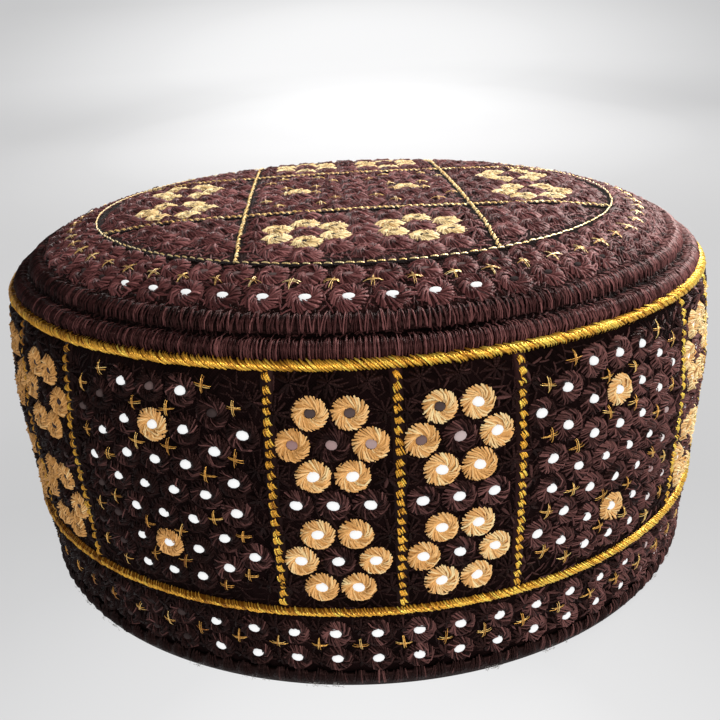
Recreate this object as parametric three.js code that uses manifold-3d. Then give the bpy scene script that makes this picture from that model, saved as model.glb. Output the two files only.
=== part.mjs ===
// A stiff round prayer cap of embroidered cloth: a pierced wall and a pierced, slightly domed
// crown over a pale lining, with satin ridges where the two are joined, gold cords round the
// wall, upright gold braids that part it into panels, and a gold circle and grid on the crown.
// Millimetres, +Z up. The origin is the middle of the rim that the cap rests on, and the front
// of the cap looks along -Y.
import * as THREE from 'three';
import { mergeVertices } from 'three/addons/utils/BufferGeometryUtils.js';
import Module from 'manifold-3d';

const wasm = await Module();
wasm.setup();

// Driving dimensions
const WALL = 1.5; // embroidered cloth of the wall and of the crown
const LINING = 1.0; // the pale inner cloth
const GAP = 0.3; // air between two pieces that touch on the real cap
const AROUND = 56; // flat faces round the cap
const LINING_AROUND = 36;

// The outer face of the cloth, from the rim up to the middle of the crown
const FACE = {
  rim: { r: 90.6, z: 1.3 },
  lowerCord: { r: 93.0, z: 21.0 },
  belly: { r: 94.7, z: 52.0 },
  underCord: { r: 93.2, z: 71.0 },
  shoulder: { r: 91.3, z: 76.5 },
  topRidge: { r: 89.8, z: 78.3 },
  seam: { r: 87.2, z: 80.4 },
  crownEdge: { r: 83.7, z: 83.0 },
  eyeletRing: { r: 79.2, z: 85.6 },
  circle: { r: 69.0, z: 88.9 },
  field: { r: 55.0, z: 90.9 },
  grid: { r: 28.0, z: 91.7 },
  centre: { r: 0.0, z: 92.0 },
};

// Gold cords round the wall
const UPPER_CORD = { z: 75.2, high: 2.2, proud: 0.9 };
const LOWER_CORD = { z: 20.7, high: 2.0, proud: 0.9 };

// Upright braids and the panels between them
const REPEATS = 6;
const NARROW = 15; // degrees that a narrow panel takes
const WIDE = 30; // degrees that a wide panel takes
const FIRST_BRAID = 4.0; // degrees from the front towards +X
const BRAID = { wide: 1.6, proud: 0.9 };

// The panels that the photo shows are a little wider than those behind. Each row gives a bearing
// in an even layout, counted from the first braid, and the bearing that it takes on the cap.
const SPREAD = [
  { even: -45, real: -46.4 },
  { even: -15, real: -15.3 },
  { even: 0, real: 0 },
  { even: 15, real: 15.4 },
  { even: 45, real: 47.2 },
  { even: 315, real: 313.6 },
];

// Ridges and hem
const RIDGE_EDGE = 0.7; // height of a ridge's side
const RIDGE_PROUD = 1.2; // height of its back
const HEM = { cloth: 0.7, outside: 4.2, inside: 4.0 };

// Gold lines on the crown
const CROWN_BRAID = { wide: 1.6, proud: 0.6 };
const CIRCLE = { r: 69.0, wide: 1.2 };
const GRID_OFFSET = 28.0; // from the centre to each of the four lines
const GRID_TURN = 2.4; // degrees

// Pierced eyelets, at the middle of each motif and along the wall's middle row
const HOLE = { r: 1.0, sides: 6 };
const ROSETTE_HIGH = 59.8; // height of the upper rosettes' middle
const ROSETTE_LOW = 33.5;
const MIDDLE_ROW = 46.8;
const NARROW_HOLES = [
  { along: 0, z: ROSETTE_HIGH },
  { along: 0, z: ROSETTE_LOW },
  { along: -7.6, z: MIDDLE_ROW },
  { along: 0, z: MIDDLE_ROW },
  { along: 7.6, z: MIDDLE_ROW },
];
const WIDE_HOLES = [
  { along: 0, z: 61.7 },
  { along: 0, z: 34.4 },
  { along: -3.8, z: 48.1 },
  { along: 3.8, z: 48.1 },
];
const CROWN_ROSETTE = { near: 13.0, far: 47.0 }; // a rosette's middle, from the two grid axes
const CENTRE_EYELET = 14.5; // the two single eyelets of the middle square

// Places that a wall's inner side does without
const INNER_SKIPS = ['lowerCord', 'underCord', 'topRidge', 'eyeletRing', 'grid'];

// Finishes
const darkThread = () => new THREE.MeshStandardMaterial({ color: 0x2b171c, roughness: 0.75, metalness: 0 });
const darkSatin = () => new THREE.MeshStandardMaterial({ color: 0x24141a, roughness: 0.55, metalness: 0 });
const goldThread = () => new THREE.MeshStandardMaterial({ color: 0xd9a52c, roughness: 0.35, metalness: 0.8 });
const paleCotton = () => new THREE.MeshStandardMaterial({ color: 0xf0eeec, roughness: 0.9, metalness: 0 });

const cap = new THREE.Group();
cap.name = 'prayer_cap';

const radians = THREE.MathUtils.degToRad;

// A closed mesh with its shared corners merged, and without the faces that shrink to a line.
function welded(geometry) {
  const bare = geometry.index ? geometry.toNonIndexed() : geometry.clone();
  bare.deleteAttribute('normal');
  bare.deleteAttribute('uv');
  const merged = mergeVertices(bare, 1e-4);
  const corners = Array.from(merged.index.array);
  const kept = [];
  for (let at = 0; at < corners.length; at += 3) {
    const [a, b, c] = corners.slice(at, at + 3);
    if (a !== b && b !== c && c !== a) kept.push(a, b, c);
  }
  merged.setIndex(kept);
  return merged;
}

function addPiece(name, geometry, material) {
  const mesh = new THREE.Mesh(geometry, material);
  mesh.name = name;
  cap.add(mesh);
  return mesh;
}

function toSolid(geometry) {
  const closed = welded(geometry);
  return new wasm.Manifold(new wasm.Mesh({
    numProp: 3,
    vertProperties: new Float32Array(closed.attributes.position.array),
    triVerts: new Uint32Array(closed.index.array),
  }));
}

function fromSolid(solid) {
  const mesh = solid.getMesh();
  const geometry = new THREE.BufferGeometry();
  geometry.setAttribute('position', new THREE.BufferAttribute(mesh.vertProperties, 3));
  geometry.setIndex(new THREE.BufferAttribute(mesh.triVerts, 1));
  return geometry;
}

// The places of FACE between two names, both of them included, apart from those left out.
function stretch(from, to, leftOut = []) {
  const names = Object.keys(FACE);
  const run = names.slice(names.indexOf(from), names.indexOf(to) + 1);
  return run.filter((name) => !leftOut.includes(name)).map((name) => FACE[name]);
}

// The face moved outwards by some distance, square to it at each of its places.
function offsetFace(places, distance) {
  const all = Object.values(FACE);
  return places.map((place) => {
    const at = all.indexOf(place);
    const before = all[Math.max(at - 1, 0)];
    const after = all[Math.min(at + 1, all.length - 1)];
    const run = new THREE.Vector2(after.r - before.r, after.z - before.z).normalize();
    const outwards = place.r === 0 ? new THREE.Vector2(0, 1) : new THREE.Vector2(run.y, -run.x);
    return new THREE.Vector2(place.r + outwards.x * distance, place.z + outwards.y * distance);
  });
}

// The point between two others, a given distance from the first.
function towards(first, second, distance) {
  return first.clone().add(second.clone().sub(first).setLength(distance));
}

// A profile turned about the cap's axis. LatheGeometry turns about +Y, so it is stood up.
// The profile runs anticlockwise, with the radius to the right and the height upwards.
function turned(profile, around) {
  const solid = new THREE.LatheGeometry([...profile, profile[0]], around);
  solid.rotateX(Math.PI / 2);
  return welded(solid);
}

// A wall of cloth between two offsets from the face, as a profile that runs round the wall.
function wallProfile(outer, inner) {
  return [...outer, ...[...inner].reverse()];
}

// The radius of the outer face at a height on the upright wall.
function faceRadius(z) {
  const rows = stretch('rim', 'shoulder');
  const top = rows.findIndex((row) => row.z >= z);
  const upper = rows[Math.max(top, 1)];
  const lower = rows[Math.max(top, 1) - 1];
  return THREE.MathUtils.mapLinear(z, lower.z, upper.z, lower.r, upper.r);
}

// The height of the crown's outer face at a distance from the axis.
function crownHeight(r) {
  const rows = stretch('crownEdge', 'centre');
  const inner = rows.findIndex((row) => row.r <= r);
  const near = rows[Math.max(inner, 1)];
  const far = rows[Math.max(inner, 1) - 1];
  return THREE.MathUtils.mapLinear(r, near.r, far.r, near.z, far.z);
}

// A short six-sided rod, for cutting one eyelet's hole.
function drill(place, direction) {
  const rod = new THREE.CylinderGeometry(HOLE.r, HOLE.r, 8 * WALL, HOLE.sides);
  const turn = new THREE.Quaternion().setFromUnitVectors(new THREE.Vector3(0, 1, 0), direction);
  rod.applyQuaternion(turn);
  rod.translate(place.x, place.y, place.z);
  return toSolid(rod);
}

// Outwards at an angle from the front of the cap towards +X.
function bearing(degrees) {
  return new THREE.Vector3(Math.sin(radians(degrees)), -Math.cos(radians(degrees)), 0);
}

// The bearing on the cap of a place in the even layout, from -45 to 315 degrees.
function spread(even) {
  const after = Math.max(SPREAD.findIndex((row) => row.even >= even), 1);
  const [from, to] = [SPREAD[after - 1], SPREAD[after]];
  return FIRST_BRAID + THREE.MathUtils.mapLinear(even, from.even, to.even, from.real, to.real);
}

function pierceWall(band, holes, panelMiddle) {
  let pierced = band;
  for (const hole of holes) {
    const r = faceRadius(hole.z);
    const outwards = bearing(spread(panelMiddle + THREE.MathUtils.radToDeg(hole.along / r)));
    const place = outwards.clone().multiplyScalar(r).setZ(hole.z);
    pierced = pierced.subtract(drill(place, outwards));
  }
  return pierced;
}

// The wall, pierced in each panel
function makeSideBand() {
  const outer = offsetFace(stretch('rim', 'seam'), 0);
  const inner = offsetFace(stretch('rim', 'seam', INNER_SKIPS), -WALL);
  let band = toSolid(turned(wallProfile(outer, inner), AROUND));
  for (let repeat = 0; repeat < REPEATS; repeat += 1) {
    const start = repeat * (2 * NARROW + WIDE);
    band = pierceWall(band, NARROW_HOLES, start - NARROW / 2);
    band = pierceWall(band, NARROW_HOLES, start + NARROW / 2);
    const wideMiddle = repeat === REPEATS - 1 ? -NARROW - WIDE / 2 : start + NARROW + WIDE / 2;
    band = pierceWall(band, WIDE_HOLES, wideMiddle);
  }
  addPiece('side_band', fromSolid(band), darkThread());
}

// The crown, pierced at its rosettes and at the two single eyelets of its middle square
function makeCrownPanel() {
  const outer = offsetFace(stretch('seam', 'centre'), 0);
  const inner = offsetFace(stretch('seam', 'centre', INNER_SKIPS), -WALL);
  outer[0] = towards(outer[0], outer[1], GAP);
  inner[0] = towards(inner[0], inner[1], GAP);
  let crown = toSolid(turned(wallProfile(outer, inner), AROUND));
  const spots = [[CENTRE_EYELET, 0], [-CENTRE_EYELET, 0]];
  for (const side of [-1, 1]) {
    for (const end of [-1, 1]) {
      spots.push([side * CROWN_ROSETTE.near, end * CROWN_ROSETTE.far]);
      spots.push([end * CROWN_ROSETTE.far, side * CROWN_ROSETTE.near]);
    }
  }
  const up = new THREE.Vector3(0, 0, 1);
  for (const [x, y] of spots) {
    const place = new THREE.Vector3(x, y, crownHeight(Math.hypot(x, y)));
    crown = crown.subtract(drill(place.applyAxisAngle(up, radians(GRID_TURN)), up));
  }
  addPiece('crown_panel', fromSolid(crown), darkThread());
}

// The pale inner cloth, one cup inside the wall and the crown
function makeLining() {
  const places = stretch('rim', 'centre', INNER_SKIPS);
  const outer = offsetFace(places, -(WALL + GAP));
  const inner = offsetFace(places, -(WALL + GAP + LINING));
  addPiece('lining', turned(wallProfile(outer, inner), LINING_AROUND), paleCotton());
}

// The hem, folded round the bottom edge of the wall and of the lining
function makeHem() {
  const edge = FACE.rim.r;
  const outside = faceRadius(HEM.outside) + GAP;
  const inside = edge - WALL - LINING - 2 * GAP;
  const profile = [
    [inside - HEM.cloth, 0],
    [outside + HEM.cloth, 0],
    [outside + HEM.cloth, HEM.outside],
    [outside, HEM.outside],
    [outside, FACE.rim.z - GAP],
    [inside, FACE.rim.z - GAP],
    [inside, HEM.inside],
    [inside - HEM.cloth, HEM.inside],
  ].map(([r, z]) => new THREE.Vector2(r, z));
  addPiece('hem_binding', turned(profile, AROUND), darkSatin());
}

// A gold cord round the wall: flat where it lies on the cloth, and rounded outside
function makeCord(name, cord) {
  const foot = (z) => faceRadius(z) + GAP;
  const low = cord.z - cord.high / 2;
  const high = cord.z + cord.high / 2;
  const profile = [
    [foot(low), low],
    [foot(cord.z) + 0.75 * cord.proud, low + 0.15 * cord.high],
    [foot(cord.z) + cord.proud, cord.z],
    [foot(cord.z) + 0.75 * cord.proud, high - 0.15 * cord.high],
    [foot(high), high],
  ].map(([r, z]) => new THREE.Vector2(r, z));
  addPiece(name, turned(profile, AROUND), goldThread());
}

// A rolled satin ridge along a stretch of the face
function makeRidge(name, from, to) {
  const places = stretch(from, to);
  const foot = offsetFace(places, GAP);
  const back = offsetFace(places, GAP + RIDGE_PROUD);
  const last = places.length - 1;
  foot[0] = towards(foot[0], foot[1], GAP);
  foot[last] = towards(foot[last], foot[last - 1], GAP);
  const shoulder = offsetFace(places, GAP + RIDGE_EDGE);
  const start = towards(shoulder[0], shoulder[1], 2 * GAP);
  const end = towards(shoulder[last], shoulder[last - 1], 2 * GAP);
  const crest = places.length > 2 ? back.slice(1, last) : [back[0].clone().lerp(back[1], 0.5)];
  const profile = [start, ...crest, end, ...foot.reverse()];
  addPiece(name, turned(profile, AROUND), darkSatin());
}

// One upright gold braid at a bearing: its side outline, given its width
function makeBraid(name, degrees) {
  const low = LOWER_CORD.z + LOWER_CORD.high / 2 + GAP;
  const high = UPPER_CORD.z - UPPER_CORD.high / 2 - GAP;
  const rows = [low, FACE.belly.z, FACE.underCord.z, high];
  const outline = new THREE.Shape([
    ...rows.map((z) => new THREE.Vector2(faceRadius(z) + GAP, z)),
    ...rows.reverse().map((z) => new THREE.Vector2(faceRadius(z) + GAP + BRAID.proud, z)),
  ]);
  const strip = new THREE.ExtrudeGeometry(outline, { depth: BRAID.wide, bevelEnabled: false });
  strip.translate(0, 0, -BRAID.wide / 2);
  strip.rotateX(Math.PI / 2);
  const braid = addPiece(name, welded(strip), goldThread());
  braid.rotation.z = radians(degrees - 90);
}

function makeBraids() {
  let count = 0;
  for (let repeat = 0; repeat < REPEATS; repeat += 1) {
    for (const step of [-NARROW, 0, NARROW]) {
      count += 1;
      const degrees = spread(repeat * (2 * NARROW + WIDE) + step);
      makeBraid(`band_braid_${String(count).padStart(2, '0')}`, degrees);
    }
  }
}

// The gold circle and the four straight lines that end on it, fused into one piece
function makeCrownBraid() {
  const height = (r) => crownHeight(r) + GAP;
  const inner = CIRCLE.r - CIRCLE.wide / 2;
  const outer = CIRCLE.r + CIRCLE.wide / 2;
  const ring = [
    [inner, height(inner)],
    [outer, height(outer)],
    [outer, height(outer) + CROWN_BRAID.proud],
    [inner, height(inner) + CROWN_BRAID.proud],
  ].map(([r, z]) => new THREE.Vector2(r, z));
  let gold = toSolid(turned(ring, AROUND));
  const half = Math.sqrt(CIRCLE.r ** 2 - GRID_OFFSET ** 2);
  const bend = Math.sqrt(FACE.field.r ** 2 - GRID_OFFSET ** 2);
  const steps = [-half, -bend, 0, bend, half];
  const foot = steps.map((t) => new THREE.Vector2(t, height(Math.hypot(t, GRID_OFFSET))));
  const top = [...foot].reverse().map((p) => new THREE.Vector2(p.x, p.y + CROWN_BRAID.proud));
  for (let quarter = 0; quarter < 4; quarter += 1) {
    const line = new THREE.ExtrudeGeometry(new THREE.Shape([...foot, ...top]), {
      depth: CROWN_BRAID.wide,
      bevelEnabled: false,
    });
    line.translate(0, 0, -CROWN_BRAID.wide / 2);
    line.rotateX(Math.PI / 2);
    line.translate(0, GRID_OFFSET, 0);
    line.rotateZ(quarter * Math.PI / 2 + radians(GRID_TURN));
    gold = gold.add(toSolid(line));
  }
  addPiece('crown_gold_braid', fromSolid(gold), goldThread());
}

makeHem();
makeSideBand();
makeLining();
makeCord('lower_gold_cord', LOWER_CORD);
makeCord('upper_gold_cord', UPPER_CORD);
makeBraids();
makeRidge('band_top_binding', 'shoulder', 'seam');
makeRidge('crown_edge_binding', 'seam', 'crownEdge');
makeCrownPanel();
makeCrownBraid();

export default cap;
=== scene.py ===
"""The looks of a stiff round prayer cap: raised eyelets, gold cords and satin ridges on dark cloth."""

import contextlib
import math

import bmesh
import bpy
import numpy as np
from mathutils import Matrix, Vector, geometry


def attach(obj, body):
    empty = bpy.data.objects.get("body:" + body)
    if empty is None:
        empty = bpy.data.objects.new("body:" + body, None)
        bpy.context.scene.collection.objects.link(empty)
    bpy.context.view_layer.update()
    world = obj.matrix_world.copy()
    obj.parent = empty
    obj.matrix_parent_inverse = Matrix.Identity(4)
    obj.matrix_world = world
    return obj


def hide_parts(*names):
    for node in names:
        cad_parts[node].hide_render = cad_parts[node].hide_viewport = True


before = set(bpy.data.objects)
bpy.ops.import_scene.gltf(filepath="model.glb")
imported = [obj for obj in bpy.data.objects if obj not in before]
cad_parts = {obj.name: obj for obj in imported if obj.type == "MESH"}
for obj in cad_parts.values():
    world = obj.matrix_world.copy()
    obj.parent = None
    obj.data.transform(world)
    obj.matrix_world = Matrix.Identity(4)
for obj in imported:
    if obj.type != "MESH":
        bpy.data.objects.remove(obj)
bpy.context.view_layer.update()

MM = 0.001
TURN = 2 * math.pi

RIM_Z = 0.9
SEAM_R = 86.8  # where the crown meets the wall
SEAM_Z = 80.0

# The face of the dark ground cloth, from the foot to the middle of the crown: radius and height
OUTLINE = [
    ("foot", 90.0, -0.6),
    ("rim", 90.1, RIM_Z),
    ("lower cord", 92.3, 21.0),
    ("belly", 94.0, 52.0),
    ("under the cord", 92.5, 71.0),
    ("shoulder", 90.7, 76.2),
    ("top ridge", 89.3, 77.9),
    ("seam", SEAM_R, SEAM_Z),
    ("crown edge", 83.5, 82.7),
    ("eyelet ring", 79.1, 85.3),
    ("circle", 68.9, 88.6),
    ("field", 55.0, 90.6),
    ("grid", 28.0, 91.4),
    ("centre", 0.0, 91.7),
]
OUTLINE_STEP = 0.25
ROUNDING = 3.0  # length over which the outline's corners are rounded
AROUND = 360  # points round the cap in a closed ring

# The wall's chart: the way round from the front towards +X, and the height
WALL_R = 93.5
ROUND = TURN * WALL_R
REPEATS = 6
NARROW = ROUND / 24
WIDE = ROUND / 12
FIRST_BRAID_BEARING = 4.0  # degrees
FIRST_BRAID = ROUND * FIRST_BRAID_BEARING / 360
UPPER_CORD_Z = 75.2
LOWER_CORD_Z = 20.7

# The panels at the front are a little wider than those behind: how far a bearing, counted in
# degrees from the first braid in an even layout, is moved on
SPREAD_AT = (-45, -15, 0, 15, 45)
SPREAD_BY = (-1.4, -0.3, 0, 0.4, 2.2)

# Eyelets
HOLE_R = 1.25
PETAL = 7.5  # from one eyelet's middle to the next in a rosette
ROSETTES_Z = (59.6, 33.3)
STITCH_SHIFT = -0.45  # how far all the panels' stitches lie beside the panels' middles
MIDDLE_ROW_X = (-7.5, -0.3, 6.9)
MIDDLE_ROW_Z = 46.6

# One wide panel: the height of each row, and how far its eyelets lie to both sides
WIDE_ROWS = [
    (69.3, (0.0, 7.2)),
    (65.3, (13.7,)),
    (61.2, (7.2, 19.7)),
    (57.3, (13.7,)),
    (53.7, (0.0, 7.2)),
    (50.8, (17.2,)),
    (47.3, (3.6, 10.8)),
    (43.7, (17.0,)),
    (40.9, (0.0, 7.2)),
    (37.2, (13.6,)),
    (33.4, (7.2, 19.7)),
    (29.8, (13.7,)),
    (26.4, (0.0, 7.1)),
]
WIDE_SINGLES = (61.2, 33.4)  # heights of the two cream eyelets on its middle line
WIDE_CROSSES = [
    (71.0, (12.3,)),
    (67.0, (18.5,)),
    (65.3, (3.9,)),
    (57.3, (3.9,)),
    (56.5, (18.1,)),
    (52.4, (12.0,)),
    (42.3, (12.3,)),
    (38.7, (18.1,)),
    (37.7, (3.9,)),
    (30.0, (3.9,)),
    (29.0, (18.6,)),
    (25.6, (12.8,)),
]
WIDE_STARS = [(68.5, (22.4,)), (54.5, (22.4,)), (48.0, (22.4,)), (41.6, (22.4,)), (27.3, (22.4,))]
NARROW_STARS = [(72.2, (0.0, 7.3)), (66.3, (10.3,)), (53.0, (10.3,)), (40.2, (10.3,)), (27.2, (10.3,))]

# The lower band
BAND_COLUMNS = 66
BAND_START = 9.95
BAND_ROWS_Z = (14.4, 7.3)
BAND_CROSS_Z = 11.7
BAND_CROSS_SHIFT = 0.6  # of the way from one column to the next, here and round the crown
BAND_STARS_BESIDE = np.array([(0, 4.6), (0, -4.6)])  # a cross's two tufts, over and under it

# The crown
RING_COUNT = 58
RING_START = -1.3  # degrees
OUTER_RING_R = 79.4
CROSS_RING_R = 75.6
INNER_RING_R = 72.3
CIRCLE_R = 69.0
FIELD_R = 65.2  # as far out as the lattice's eyelets go
GRID_OFFSET = 28.0  # from the crown's middle to each of the four lines
GRID_TURN = math.radians(2.4)
LATTICE_ACROSS = 6.5
LATTICE_DOWN = 7.6
LATTICE_COLUMNS = range(-9, 10)
LATTICE_ROWS = range(-2, 3)
LINE_CLEAR_ACROSS = 3.2  # how far the lattice keeps from the lines beside it
LINE_CLEAR_DOWN = 3.3  # and from the line behind it
ROSETTE_NEAR = 13.0
ROSETTE_FAR = 47.0
PETAL_BAND = (1.0, 9.0)  # how far from a rosette's middle its petals lie
FIELD_STARS_X = 24.4
FIELD_STARS_Y = (-33, -40, -47, -54)
SQUARE_SCALE = 1.07

# The bare ground that short threads are scattered on: the step of its spots, how far it reaches,
# and how far it keeps from the middles of the eyelets and of the gold lines
WALL_SCATTER_STEP = 1.7
WALL_SCATTER_Z = (6, 74)
WALL_EYELET_CLEAR = 3.1
CROWN_SCATTER_STEP = 1.4
CROWN_SCATTER_R = 82.5
CROWN_EYELET_CLEAR = 2.9
CIRCLE_CLEAR = 1.9
LINE_CLEAR = 1.7


def smooth_outline():
    """Places along OUTLINE at every OUTLINE_STEP of its length, rounded by a running mean.

    Returns the length so far, the radius, the height and the two parts of the outward normal.
    """
    rows = np.array([row[1:] for row in OUTLINE])
    length = np.concatenate([[0], np.cumsum(np.hypot(*np.diff(rows, axis=0).T))])
    at = np.arange(0, length[-1] + OUTLINE_STEP / 2, OUTLINE_STEP)
    radius = np.interp(at, length, rows[:, 0])
    height = np.interp(at, length, rows[:, 1])
    window = int(ROUNDING / OUTLINE_STEP) | 1
    half = window // 2
    steps = np.arange(half, 0, -1)
    radius = np.concatenate([2 * radius[0] - radius[steps], radius, -radius[-1 - steps[::-1]]])
    height = np.concatenate([2 * height[0] - height[steps], height, height[-1 - steps[::-1]]])
    kernel = np.ones(window) / window
    radius = np.convolve(radius, kernel, "valid")
    height = np.convolve(height, kernel, "valid")
    run = np.stack([np.gradient(radius), np.gradient(height)])
    run /= np.hypot(*run)
    return at, radius, height, run[1], -run[0]


FACE_S, FACE_R, FACE_Z, FACE_NR, FACE_NZ = smooth_outline()
ON_TOP = FACE_Z > SEAM_Z - 2  # the part of the outline that the crown's chart reads


def on_face(angle, s, lift):
    """The point at a bearing from the front, at length s up the outline, lifted off the cloth."""
    radius = np.interp(s, FACE_S, FACE_R) + lift * np.interp(s, FACE_S, FACE_NR)
    height = np.interp(s, FACE_S, FACE_Z) + lift * np.interp(s, FACE_S, FACE_NZ)
    parts = np.broadcast_arrays(radius * np.sin(angle), -radius * np.cos(angle), height)
    return np.stack(parts, -1) * MM


def up_to(z):
    """The length up the outline at a height."""
    return np.interp(z, FACE_Z, FACE_S)


def spread(x):
    """The bearing on the cap of a place in the even layout, in radians."""
    even = np.degrees(x / WALL_R) - FIRST_BRAID_BEARING
    moved = np.interp(even, SPREAD_AT, SPREAD_BY, period=360)
    return np.radians(even + moved + FIRST_BRAID_BEARING)


def on_wall(x, z, lift):
    """The wall's chart: x is the way round in the even layout from the front, z the height."""
    return on_face(spread(x), up_to(z), lift)


def on_wall_run(x, s, lift):
    """As the wall's chart, with the length up the outline in place of the height."""
    return on_face(spread(x), s, lift)


def on_ring(x, s, lift):
    """A chart for what runs round evenly: x the way round at WALL_R, s the length up."""
    return on_face(x / WALL_R, s, lift)


def on_crown(x, y, lift):
    """The crown's chart: a plan seen from above, x to the right and y away from the front."""
    radius = np.hypot(x, y)
    s = np.interp(-radius, -FACE_R[ON_TOP], FACE_S[ON_TOP])
    lean = lift * np.interp(s, FACE_S, FACE_NR) / np.maximum(radius, 1e-6)
    height = np.interp(s, FACE_S, FACE_Z) + lift * np.interp(s, FACE_S, FACE_NZ)
    return np.stack([x * (1 + lean), y * (1 + lean), height], -1) * MM


CELL_EDGE = 0.08  # the share of a cell of the map that stays empty on each side of its patch
CELL_FILL = 0.84


class Piece:
    """One mesh gathered from patches, each of them a grid of points worked out as an array.

    Beside its points a patch has a shade, and how far along and across it each point lies. Each
    patch also takes a cell of its own in the map that the baked finish is laid out on.
    """

    def __init__(self, name):
        self.name = name
        self.points = []
        self.quads = []
        self.shade = []
        self.along = []
        self.across = []
        self.layout = []
        self.count = 0

    def add(self, points, shade, share, wraps="", band=0.0, edged=1.0):
        """points is patches x rows x columns x 3; wraps names what closes: rows, columns, both.

        share and band give the part of the map's height that these patches fill, and its start.
        edged is 0 for a patch that has no painted shade down its sides.
        """
        patches, rows, columns, _ = points.shape
        index = self.count + np.arange(patches * rows * columns).reshape(patches, rows, columns)
        if wraps in ("rows", "both"):
            index = np.concatenate([index, index[:, :1]], 1)
        if wraps in ("columns", "both"):
            index = np.concatenate([index, index[:, :, :1]], 2)
        corners = [index[:, :-1, :-1], index[:, 1:, :-1], index[:, 1:, 1:], index[:, :-1, 1:]]
        self.quads.append(np.stack(corners, -1).reshape(-1, 4))
        self.points.append(points.reshape(-1, 3))
        whole = np.ones((patches, rows, columns))
        along = whole * np.linspace(0, 1, rows)[None, :, None]
        across = whole * np.linspace(-1, 1, columns)
        self.shade.append((whole * np.reshape(shade, (-1, 1, 1))).ravel())
        self.along.append(along.ravel())
        self.across.append(edged * across.ravel())
        cells = math.ceil(math.sqrt(patches))
        number = np.arange(patches)[:, None, None]
        right = (number % cells + 0.5 + CELL_FILL / 2 * across) / cells
        up = band + share * (number // cells + CELL_EDGE + CELL_FILL * along) / cells
        self.layout.append(np.stack([right, up], -1).reshape(-1, 2))
        self.count += patches * rows * columns

    def build(self, finish, slot, *stands_for):
        """Puts the arrays into a mesh that rides on the cap and stands for its solids."""
        mesh = bpy.data.meshes.new(self.name)
        points = np.concatenate(self.points)
        quads = np.concatenate(self.quads)
        mesh.vertices.add(len(points))
        mesh.vertices.foreach_set("co", points.astype(np.float32).ravel())
        mesh.loops.add(quads.size)
        mesh.loops.foreach_set("vertex_index", quads.astype(np.int32).ravel())
        mesh.polygons.add(len(quads))
        mesh.polygons.foreach_set("loop_start", np.arange(0, quads.size, 4, dtype=np.int32))
        mesh.polygons.foreach_set("use_smooth", np.ones(len(quads), bool))
        mesh.update(calc_edges=True)
        for name, values in (("shade", self.shade), ("along", self.along), ("across", self.across)):
            layer = mesh.attributes.new(name, "FLOAT", "POINT")
            layer.data.foreach_set("value", np.concatenate(values).astype(np.float32))
        layout = mesh.uv_layers.new(name="OFBake")
        spots = np.concatenate(self.layout)[quads.ravel()]
        layout.uv.foreach_set("vector", spots.astype(np.float32).ravel())
        return dress(mesh, finish, slot, *stands_for)


def dress(mesh, finish, slot, *stands_for):
    """Makes an object of a mesh, and says what it rides on, wears and stands for."""
    piece = bpy.data.objects.new(mesh.name, mesh)
    bpy.context.scene.collection.objects.link(piece)
    mesh.materials.append(finish)
    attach(piece, "root")
    if stands_for:
        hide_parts(*stands_for)
    return piece


@contextlib.contextmanager
def net_of(mesh):
    """Opens a mesh as a net of corners and faces, and writes it back after the work on it."""
    net = bmesh.new()
    net.from_mesh(mesh)
    yield net
    net.to_mesh(mesh)
    net.free()


def merged(piece):
    """Joins the points of a piece that lie in one place, so that its seams and poles close."""
    with net_of(piece.data) as net:
        bmesh.ops.remove_doubles(net, verts=net.verts, dist=1e-7)


def nearest(points, centres):
    """How far each point lies from the centre next to it."""
    parts = np.array_split(points, max(1, len(points) // 1000))
    return np.concatenate([
        np.linalg.norm(part[:, None] - centres[None], axis=2).min(1) for part in parts])


def uneven(chance, amount, shape):
    """Factors about one, spread by an amount, that make each thread a little unlike the next."""
    return 1 + chance.normal(0, amount, shape)


def shades(chance, tone, spread, count):
    """Shades about a tone, kept between 0 and 1."""
    return np.clip(chance.normal(tone, spread, count), 0, 1)


THREAD_ACROSS = np.array([-0.5, 0.0, 0.5])
THREAD_RISE = np.array([-0.5, 0.12, -0.5])


def thread_grid(chart, path, lift, width):
    """Threads laid on a chart, each a low roof carried along its path.

    path is threads x stations x 2, lift and width are threads x stations. Across the thread lie
    an edge, a crest and an edge: the edges half a width to each side and sunk, the crest raised.
    """
    run = np.gradient(path, axis=1)
    run /= np.linalg.norm(run, axis=2, keepdims=True)
    left = np.stack([-run[..., 1], run[..., 0]], -1)[:, :, None]
    spot = path[:, :, None] + left * width[:, :, None, None] * THREAD_ACROSS[:, None]
    return chart(spot[..., 0], spot[..., 1], lift[:, :, None] + width[:, :, None] * THREAD_RISE)


def straight(start, end, stations):
    """Straight paths between starts and ends, with the stations given as shares of the way."""
    share = np.asarray(stations)[None, :, None]
    return start[:, None] * (1 - share) + end[:, None] * share


def polar(radius, angle):
    """Points of a plan at a distance from its middle and an angle from its x."""
    return np.stack([radius * np.cos(angle), radius * np.sin(angle)], -1)


EYELET_STATIONS = np.array([0.0, 0.3, 0.7, 1.0])
EYELET_LEAN = math.radians(47)  # how far a thread turns away from pointing straight outward
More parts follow.
